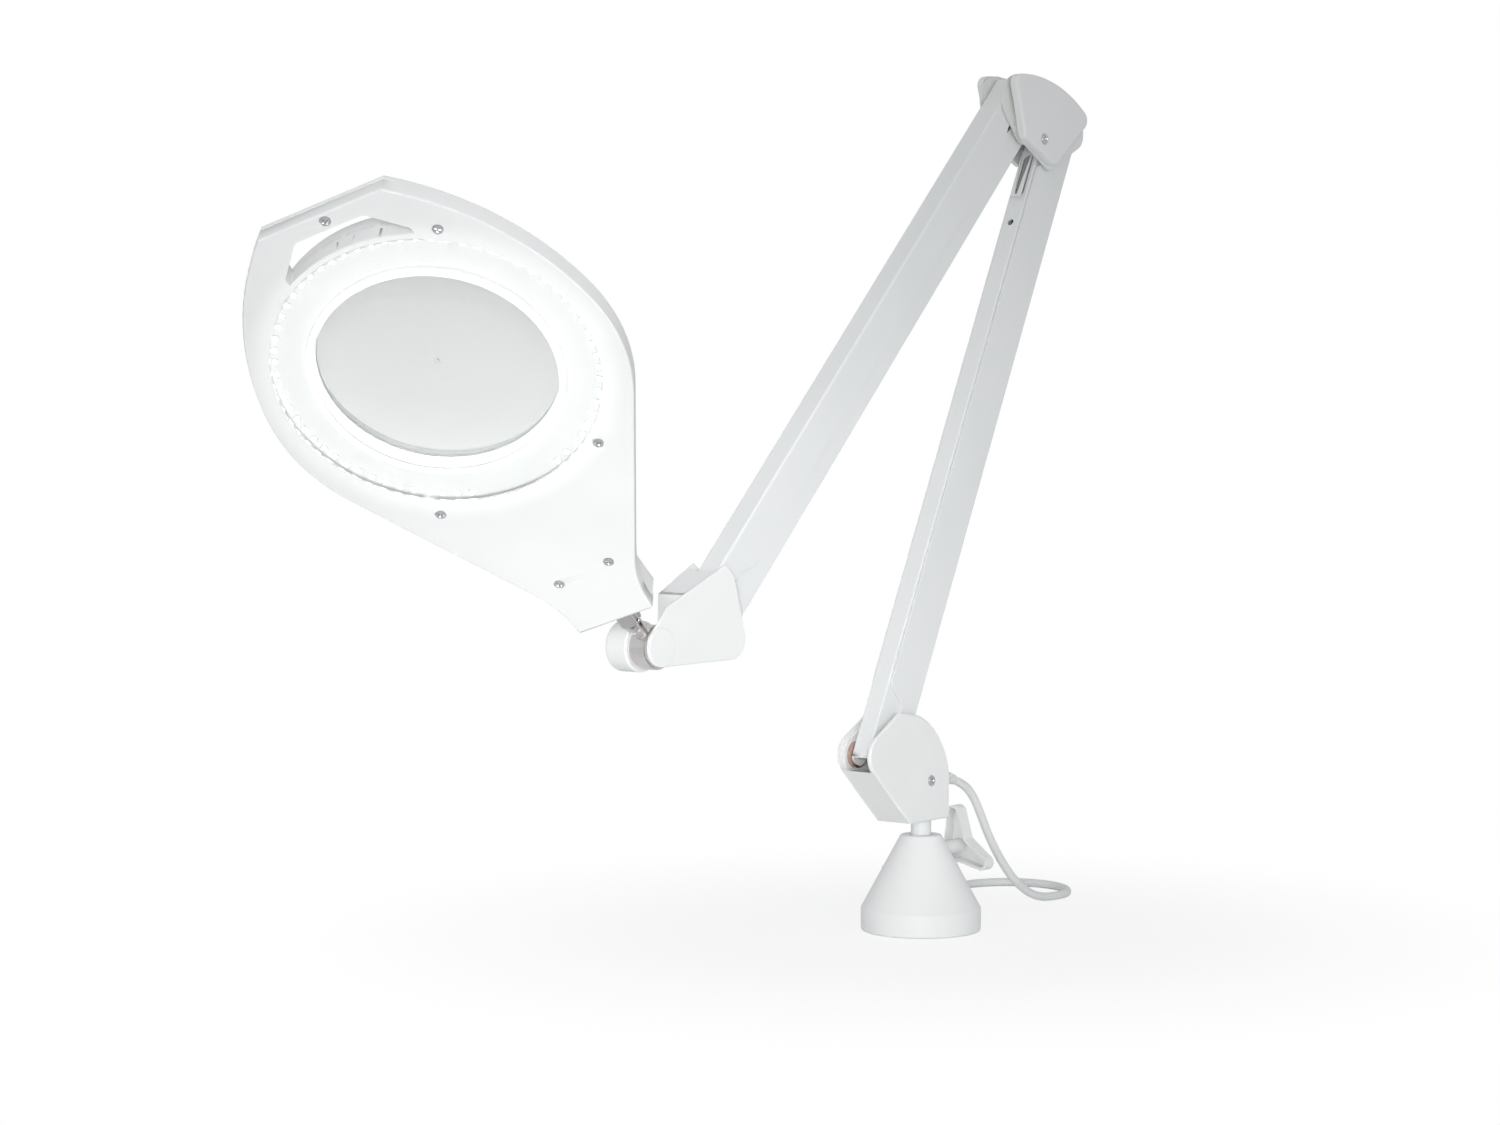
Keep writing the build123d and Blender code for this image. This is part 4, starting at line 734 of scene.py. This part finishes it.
def makeWristKnob():
    radius, thick, edge, nearEdge = (wristKnob[key] for key in ("radius", "thick", "edge", "nearEdge"))
    bore, depth, dished = wristKnob["bore"], wristKnob["boreDepth"], thick - wristKnob["dish"]
    profile = [(bore, 0), (radius - nearEdge, 0), (radius, nearEdge), (radius, thick - edge)]
    profile += arcThrough((radius - edge, thick - edge), edge, 0, 90, 7)[1:]
    profile += [(radius * 0.55, thick), (radius * 0.5, dished), (0, dished)]
    profile += [(0, depth), (bore, depth), (bore, 0)]
    start = jointAt("head_tilt") + Vector((0, wristKnob["start"], 0))
    along = placingAlong(start, Vector((0, 1, 0)))
    piece = toPiece(turned(profile, 72), "wristKnob", "tilt_knob", "knob_plastic", along)
    creaseBy(piece, 40)
    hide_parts("tilt_knob")


# distances from the elbow's pivot, back along the channel
linkSlot = {"along": 0.432, "from": 0.020, "to": 0.049, "wide": 0.0038, "thin": 0.0012, "oldFrom": 0.0185,
            "oldTo": 0.0515, "oldHalf": 0.0039, "web": 0.0099, "sheet": 0.0012, "inset": 1e-5, "past": 0.002}


def makeLowerLink():
    # the inner channel with its slot under the elbow made tapered
    web = placing(jointAt("lower_link_swing"), lowerRun, toNear)
    along, wide, thin, half = (linkSlot[key] for key in ("along", "wide", "thin", "oldHalf"))
    low = -linkSlot["web"] + linkSlot["inset"]
    high = -linkSlot["web"] + linkSlot["sheet"] - linkSlot["inset"]
    x0, x1 = along - linkSlot["oldTo"], along - linkSlot["oldFrom"]
    fill = prism([(x0, -half), (x1, -half), (x1, half), (x0, half)], low, high)
    lean = 90 + math.degrees(math.asin((wide - thin) / (linkSlot["to"] - linkSlot["from"])))
    outline = arcThrough((along - linkSlot["from"], 0), wide, -lean, lean, 20)
    outline += arcThrough((along - linkSlot["to"], 0), thin, lean, 360 - lean, 16)
    cut = prism(outline, low - linkSlot["past"], high + linkSlot["past"])
    bm = combined(meshOf("lower_inner_channel", web), ("UNION", fill), ("DIFFERENCE", cut))
    piece = toPiece(bm, "lowerLink", "lower_link", "white_paint", web)
    flatten(piece, 32)
    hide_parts("lower_inner_channel")


frontBush = {"inside": 0.00305, "outside": 0.0083, "from": 0.0063, "to": 0.0089}


def makeFrontBushes():
    # bronze bushes beside the inner channel, in the turret
    bm = bmesh.new()
    for side in (1, -1):
        bush = turned(band(frontBush["inside"], frontBush["outside"], frontBush["from"], frontBush["to"]), 48)
        bush.transform(placingAlong(jointAt("lower_link_swing"), Vector((0, side, 0))))
        joinInto(bm, bush)
    piece = toPiece(bm, "turretBushes", "turret", "bright_steel")
    piece.data.materials[0] = bronze
    creaseBy(piece, 40)


makeElbowCaps()
makeWristRoof()
makeWristKnob()
makeLowerLink()
makeFrontBushes()
print("caps, wrist and links made")

# Mains cord, in metres: out of the turret, down behind the knob, round and into its hank
cord = {"radius": 0.00275, "exit": (0.03342, 0, 0.0912), "outer": 0.0228, "inner": 0.0172,
        "leftFold": 0.02475, "rightFold": 0.08975, "step": 22.5, "top": 0.0193, "rise": 0.3,
        "start": 0.0986, "bow": (0.0913, 0.0063), "bowStep": 18, "end": (0.0808, -0.0084, 0.0194),
        "climb": ((0.042, 0.0173, 0.015), (0.0585, 0.0178, 0.0174), (0.0735, 0.0208, 0.019),
                  (0.0852, 0.0232, 0.0193))}
cordRoute = [
    (0.03342, 0, 0.0912), (0.0448, 0, 0.0875), (0.0546, 0, 0.0796), (0.0624, 0, 0.068), (0.0725, 0, 0.051),
    (0.085, 0, 0.035), (0.1015, 0, 0.0186), (0.127, 0.0005, 0.0046), (0.1637, 0.003, 0.00275),
    (0.18, 0.0113, 0.00275), (0.1907, 0.026, 0.00275), (0.1936, 0.0441, 0.00275), (0.1879, 0.0614, 0.00275),
    (0.175, 0.0743, 0.00275), (0.1577, 0.08, 0.00275), (0.1396, 0.0771, 0.00275)]


def hankTurns():
    # control points of the hank in its own frame: two columns, three layers, then over the top to the plug
    outer, inner, layer = cord["outer"], cord["inner"], 2 * cord["radius"]
    left, right, points = cord["leftFold"], cord["rightFold"], []

    def fold(centreX, fromSide, toSide, fromZ, toZ):
        # half a turn, clockwise from above, between two signed side distances, with a point on each run
        radius, middle = abs(fromSide - toSide) / 2, (fromSide + toSide) / 2
        begin, inward = (90, -1) if centreX == right else (270, 1)
        lead = centreX + inward * 2 * radius * math.sin(math.radians(cord["step"] / 2))
        points.append((lead, fromSide, fromZ))
        for index in range(int(180 / cord["step"]) + 1):
            angle = math.radians(begin - index * cord["step"])
            height = fromZ + (toZ - fromZ) * index * cord["step"] / 180
            points.append((centreX + radius * math.cos(angle), middle + radius * math.sin(angle), height))
        points.append((lead, toSide, toZ))

    first, second, third = (cord["radius"] + index * layer for index in range(3))
    rise = cord["rise"] * layer
    points.append((cord["start"], -outer, first))
    fold(left, -outer, outer, first, first)
    fold(right, outer, -inner, first, first)
    fold(left, -inner, inner, first, first)
    fold(right, inner, -inner, first + rise, second)
    fold(left, -inner, inner, second, second)
    fold(right, inner, -outer, second, second)
    fold(left, -outer, outer, second, second)
    fold(right, outer, -outer, second + rise, third)
    fold(left, -outer, outer, third, third)
    fold(right, outer, -inner, third, third)
    fold(left, -inner, inner, third, third + 0.0004)
    points.extend(cord["climb"])
    bowX, bowY = cord["bow"]
    for degrees in range(90, -91 - cord["bowStep"], -cord["bowStep"]):
        angle = math.radians(degrees)
        points.append((bowX + inner * math.cos(angle), bowY + inner * math.sin(angle), cord["top"]))
    points.append(cord["end"])
    return points


def makeCord():
    points = cordRoute + [tuple(hank @ Vector(point)) for point in hankTurns()]
    curve = bpy.data.curves.new("cordLine", "CURVE")
    curve.dimensions = "3D"
    curve.resolution_u = 8
    spline = curve.splines.new("NURBS")
    spline.points.add(len(points) - 1)
    for point, place in zip(spline.points, points):
        point.co = (*place, 1)
    spline.order_u = 3
    spline.use_endpoint_u = True
    line = bpy.data.objects.new("cordLine", curve)
    scene.collection.objects.link(line)
    centre = bpy.data.meshes.new_from_object(line)
    path = [tuple(vertex.co) for vertex in centre.vertices]
    curve.bevel_depth = cord["radius"]
    curve.bevel_resolution = 4
    curve.use_fill_caps = True
    bpy.context.view_layer.update()
    tube = bpy.data.meshes.new_from_object(line)
    bpy.data.objects.remove(line)
    bm = bmesh.new()
    bm.from_mesh(tube)
    bmesh.ops.remove_doubles(bm, verts=bm.verts, dist=1e-7)
    piece = toPiece(bm, "mainsCord", None, "cord_sheath")
    length = sum((Vector(b) - Vector(a)).length for a, b in zip(path, path[1:]))
    print("cord length", round(length, 4), "points", len(path))
    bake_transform(piece)
    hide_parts("cord_drop", "cord_run", "cord_hank")
    return piece, path, length


mainsCord, cordPath, cordLength = makeCord()

relief = {"root": 0.0044, "tip": 0.0033, "ribs": 6, "pitch": 0.0029, "groove": 0.0006, "firstRib": 0.0022,
          "inside": 0.0072, "flange": 0.0056, "flangeEnd": -0.0058, "neck": 0.00436, "neckEnd": 0.0016,
          "length": 0.022, "drop": 18, "place": (0.0125, 0, 0.098)}


def makeRelief():
    # ribbed taper on the turret's back
    bore, inside, length, flange = cord["radius"], -relief["inside"], relief["length"], relief["flangeEnd"]
    profile = [(bore, inside), (relief["flange"], inside), (relief["flange"], flange),
               (relief["neck"], flange), (relief["neck"], relief["neckEnd"])]
    for rib in range(relief["ribs"]):
        start = relief["firstRib"] + rib * relief["pitch"]
        radius = relief["root"] + (relief["tip"] - relief["root"]) * start / length
        groove = radius - relief["groove"]
        profile.extend([(groove, start), (groove, start + 0.0007), (radius, start + 0.0009),
                        (radius - 0.00012, start + 0.0026)])
    profile.extend([(0.0034, length - 0.0018), (0.0033, length - 0.0004), (0.0031, length)])
    profile.extend([(bore, length), (bore, inside)])
    drop = math.radians(relief["drop"])
    along = placingAlong(Vector(relief["place"]), Vector((math.cos(drop), 0, -math.sin(drop))))
    piece = toPiece(turned(profile, 40), "cordRelief", "turret", "cord_sheath", along)
    creaseBy(piece, 40)
    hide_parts("cord_gland")
    return piece


plug = {"start": 0.020, "length": 0.038, "width": 0.026, "height": 0.013, "middle": 0.023, "corner": 0.28,
        "steps": 56, "grip": (0.28, 0.5), "gripDepth": 0.985,
        "pinReach": 0.019, "pinApart": 0.0186, "pinRadius": 0.002}
# share of the length and of the section, from the face with the pins to the tail
plugForm = [(0, 0.9), (0.008, 0.965), (0.025, 0.995), (0.05, 1), (0.55, 1), (0.66, 0.985), (0.78, 0.93),
            (0.88, 0.84), (0.95, 0.73), (0.985, 0.64), (1, 0.52)]
plugTail = {"length": 0.029, "turn": -18, "drop": 7, "sunk": 0.003, "root": 0.0052, "collar": 0.004,
            "ribs": 6, "first": 0.005, "pitch": 0.0036, "thinner": 0.00026, "groove": 0.0007}


def plugBody():
    bm, steps, rings = bmesh.new(), plug["steps"], []
    for along, share in plugForm:
        ring = []
        for index in range(steps):
            angle = math.tau * index / steps
            side, up = math.cos(angle), math.sin(angle)
            gripped = plug["grip"][0] < along < plug["grip"][1] and abs(side) > 0.9
            across = share * (plug["gripDepth"] if gripped else 1)
            y = math.copysign(abs(side) ** plug["corner"], side) * plug["width"] / 2 * across
            z = math.copysign(abs(up) ** plug["corner"], up) * plug["height"] / 2 * share
            ring.append(bm.verts.new((plug["start"] + along * plug["length"], y, plug["middle"] + z)))
        rings.append(ring)
    for ring, after in zip(rings, rings[1:]):
        for index in range(steps):
            bm.faces.new((ring[index], ring[index - 1], after[index - 1], after[index]))
    bm.faces.new(rings[0])
    bm.faces.new(reversed(rings[-1]))
    return bm


def plugRelief():
    root, length = plugTail["root"], plugTail["length"]
    profile = [(0, 0), (root, 0), (root, plugTail["collar"])]
    for rib in range(plugTail["ribs"]):
        start = root + rib * plugTail["pitch"]
        radius = plugTail["first"] - rib * plugTail["thinner"]
        groove = radius - plugTail["groove"]
        profile.extend([(groove, start), (groove, start + 0.001), (radius, start + 0.0013),
                        (radius - 0.00015, start + 0.0034)])
    profile.extend([(0.0034, length - 0.0006), (0.0031, length), (0, length)])
    turn, drop = math.radians(plugTail["turn"]), math.radians(plugTail["drop"])
    toward = Vector((math.cos(drop) * math.cos(turn), math.cos(drop) * math.sin(turn), -math.sin(drop)))
    start = Vector((plug["start"] + plug["length"] - plugTail["sunk"], 0, plug["middle"]))
    tail = turned(profile, 40)
    tail.transform(placingAlong(start, toward))
    return tail


def makePlug():
    # flat two-pin plug on the hank, its ribbed tail turned to meet the lead
    bm = plugBody()
    joinInto(bm, plugRelief())
    radius, reach = plug["pinRadius"], plug["pinReach"]
    pinForm = [(0, 0), (radius * 0.6, 0), (radius * 0.9, 0.0006), (radius, 0.0016), (radius, reach + 0.001),
               (0, reach + 0.001)]
    for side in (-0.5, 0.5):
        tip = Vector((plug["start"] - reach, side * plug["pinApart"], plug["middle"]))
        pin = turned(pinForm, 24)
        pin.transform(placingAlong(tip, Vector((1, 0, 0))))
        joinInto(bm, pin, 1)
    piece = toPiece(bm, "leadPlug", "base", "plug_plastic", hank, extra=[finishes["neck_steel"]])
    creaseBy(piece, 38)
    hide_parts("mains_plug")
    return piece


cordRelief = makeRelief()
mainsPlug = makePlug()
print("cord laid")

# Springs, close wound, with a straight wire at each end
spring = {"start": 0.120, "length": 0.160, "offset": 0.005, "coilRadius": 0.0039, "wire": 0.00052,
          "turns": 140, "perTurn": 14, "hook": 0.013, "reach": 0.036, "rodRadius": 0.0009, "overlap": 0.001,
          "endRadius": 0.0034, "endDepth": 0.0012, "endAt": 0.0003}


def addRod(bm, radius, segments, low, high):
    rod = bmesh.ops.create_cone(bm, cap_ends=True, segments=segments, radius1=radius, radius2=radius,
                                depth=high - low)
    bmesh.ops.translate(bm, verts=rod["verts"], vec=(0, 0, (low + high) / 2))


def makeSpring(name, body, matrix, node):
    bm = bmesh.new()
    length, overlap, half = spring["length"], spring["overlap"], spring["endDepth"] / 2
    made = bmesh.ops.create_circle(bm, radius=spring["wire"], segments=6)["verts"]
    bmesh.ops.rotate(bm, verts=made, cent=(0, 0, 0), matrix=Matrix.Rotation(math.pi / 2, 3, "X"))
    bmesh.ops.translate(bm, verts=made, vec=(spring["coilRadius"], 0, 0))
    steps = spring["turns"] * spring["perTurn"]
    bmesh.ops.spin(bm, geom=bm.edges[:], cent=(0, 0, 0), axis=(0, 0, 1), dvec=(0, 0, length / steps),
                   angle=math.tau * spring["turns"], steps=steps)
    bmesh.ops.holes_fill(bm, edges=[edge for edge in bm.edges if edge.is_boundary], sides=0)
    addRod(bm, spring["rodRadius"], 10, -spring["hook"], overlap)
    addRod(bm, spring["rodRadius"], 10, length - overlap, length + spring["reach"])
    for height in (spring["endAt"], length - spring["endAt"]):      # end plugs that the straight wires leave
        addRod(bm, spring["endRadius"], 20, height - half, height + half)
    along = Matrix.Translation((spring["start"], spring["offset"], 0)) @ Matrix.Rotation(math.pi / 2, 4, "Y")
    piece = toPiece(bm, name, body, "spring_steel", matrix @ along)
    creaseBy(piece, 50)
    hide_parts(node)


makeSpring("lowerCoilSpring", "lower_arm", lowerArm, "lower_spring")
makeSpring("upperCoilSpring", "upper_arm", upperArm, "upper_spring")
print("springs wound")

# Light-emitting diodes round the lens
diodes = {"count": 62, "pitch": 5.3, "radius": 0.0835, "size": 0.003, "top": 0.0056, "depth": 0.001,
          "rim": 0.00045, "step": 0.0001, "sink": 0.0002}


def makeDiodes():
    bm = bmesh.new()
    spanned = diodes["pitch"] * (diodes["count"] - 1)
    reach = Matrix.Translation((diodes["radius"], 0, diodes["top"] - diodes["depth"] / 2))
    for index in range(diodes["count"]):
        made = bmesh.ops.create_cube(bm, size=1.0)["verts"]
        bmesh.ops.scale(bm, verts=made, vec=(diodes["size"], diodes["size"], diodes["depth"]))
        faces = {face for vert in made for face in vert.link_faces}
        lit = min(faces, key=lambda face: face.calc_center_median().z)
        bmesh.ops.inset_individual(bm, faces=[lit], thickness=diodes["rim"], depth=0.0)
        bmesh.ops.inset_individual(bm, faces=[lit], thickness=diodes["step"], depth=-diodes["sink"])
        lit.material_index = 1
        corners = [*made, *lit.verts]
        verts = {vert for corner in corners for face in corner.link_faces for vert in face.verts}
        turn = math.radians(index * diodes["pitch"] - spanned / 2)
        bmesh.ops.transform(bm, matrix=Matrix.Rotation(turn, 4, "Z") @ reach, verts=list(verts))
    piece = toPiece(bm, "ledRing", "head", "led", head, smooth=False, extra=[finishes["led"]])
    piece.data.materials[0] = finishes["nylon"]
    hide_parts("led_emitters")


makeDiodes()
print("diodes placed")


# Studio
# from near to far the floor turns into plain white, starting at the paper's share of it
studio = {"floorSize": 6.0, "floor": tone(0.93, 0.93, 0.93), "paper": 0.8, "near": 0.1, "far": 0.42,
          "sky": tone(0.97, 0.985, 1.0), "world": 0.57, "white": tone(1, 1, 1)}


def makeFloor():
    bm = bmesh.new()
    bmesh.ops.create_grid(bm, x_segments=1, y_segments=1, size=studio["floorSize"])
    mesh = bpy.data.meshes.new("studioFloor")
    bm.to_mesh(mesh)
    bm.free()
    finish = Finish("floorPaper", Roughness=0.85)
    finish.wear(Base_Color=studio["floor"])
    distance = finish.node("ShaderNodeVectorMath", {"operation": "LENGTH"}, {0: finish.place()}, 1)
    seen = finish.node("ShaderNodeLightPath", take=0)
    away = finish.spread(distance, studio["near"], studio["far"], studio["paper"], 1.0) * seen
    paper = Wire(finish, finish.shader.outputs[0])
    white = finish.node("ShaderNodeEmission", None, {"Color": studio["white"], "Strength": 1.0})
    mixed = finish.node("ShaderNodeMixShader", None, {0: away, 1: paper, 2: white})
    finish.tree.links.new(mixed.source, finish.output.inputs[0])
    mesh.materials.append(finish.material)
    floor = bpy.data.objects.new("studioFloor", mesh)
    scene.collection.objects.link(floor)


def makeWorld():
    world = bpy.data.worlds.new("studioWorld")
    world.use_nodes = True
    nodes, links = world.node_tree.nodes, world.node_tree.links
    nodes.clear()
    output, path = nodes.new("ShaderNodeOutputWorld"), nodes.new("ShaderNodeLightPath")
    light, white = nodes.new("ShaderNodeBackground"), nodes.new("ShaderNodeBackground")
    mixed = nodes.new("ShaderNodeMixShader")
    light.inputs["Color"].default_value = studio["sky"]
    light.inputs["Strength"].default_value = studio["world"]
    white.inputs["Color"].default_value = studio["white"]
    white.inputs["Strength"].default_value = 1.0
    links.new(path.outputs["Is Camera Ray"], mixed.inputs[0])
    links.new(light.outputs[0], mixed.inputs[1])
    links.new(white.outputs[0], mixed.inputs[2])
    links.new(mixed.outputs[0], output.inputs[0])
    scene.world = world


# soft boxes behind grids, which keep each one's light near its aim
lamps = [
    {"name": "neckPanel", "place": (-1.4, -0.9, 0.35), "aim": (-0.3, 0, 0.22), "size": (0.5, 0.5),
     "watts": 0.66, "spread": 28},
    {"name": "basePanel", "place": (-0.6, -1.5, 0.4), "aim": (-0.05, 0, 0.05), "size": (0.5, 0.5),
     "watts": 0.16, "spread": 40}]


def makeLamp(name, place, aim, size, watts, spread):
    data = bpy.data.lights.new(name, "AREA")
    data.spread = math.radians(spread)
    data.shape = "RECTANGLE"
    data.size, data.size_y = size
    data.energy = watts
    lamp = bpy.data.objects.new(name, data)
    lamp.location = place
    lamp.rotation_euler = (Vector(aim) - Vector(place)).to_track_quat("-Z", "Y").to_euler()
    scene.collection.objects.link(lamp)


makeFloor()
makeWorld()
for lamp in lamps:
    makeLamp(**lamp)
scene.view_settings.view_transform = "Standard"
print("studio lit")
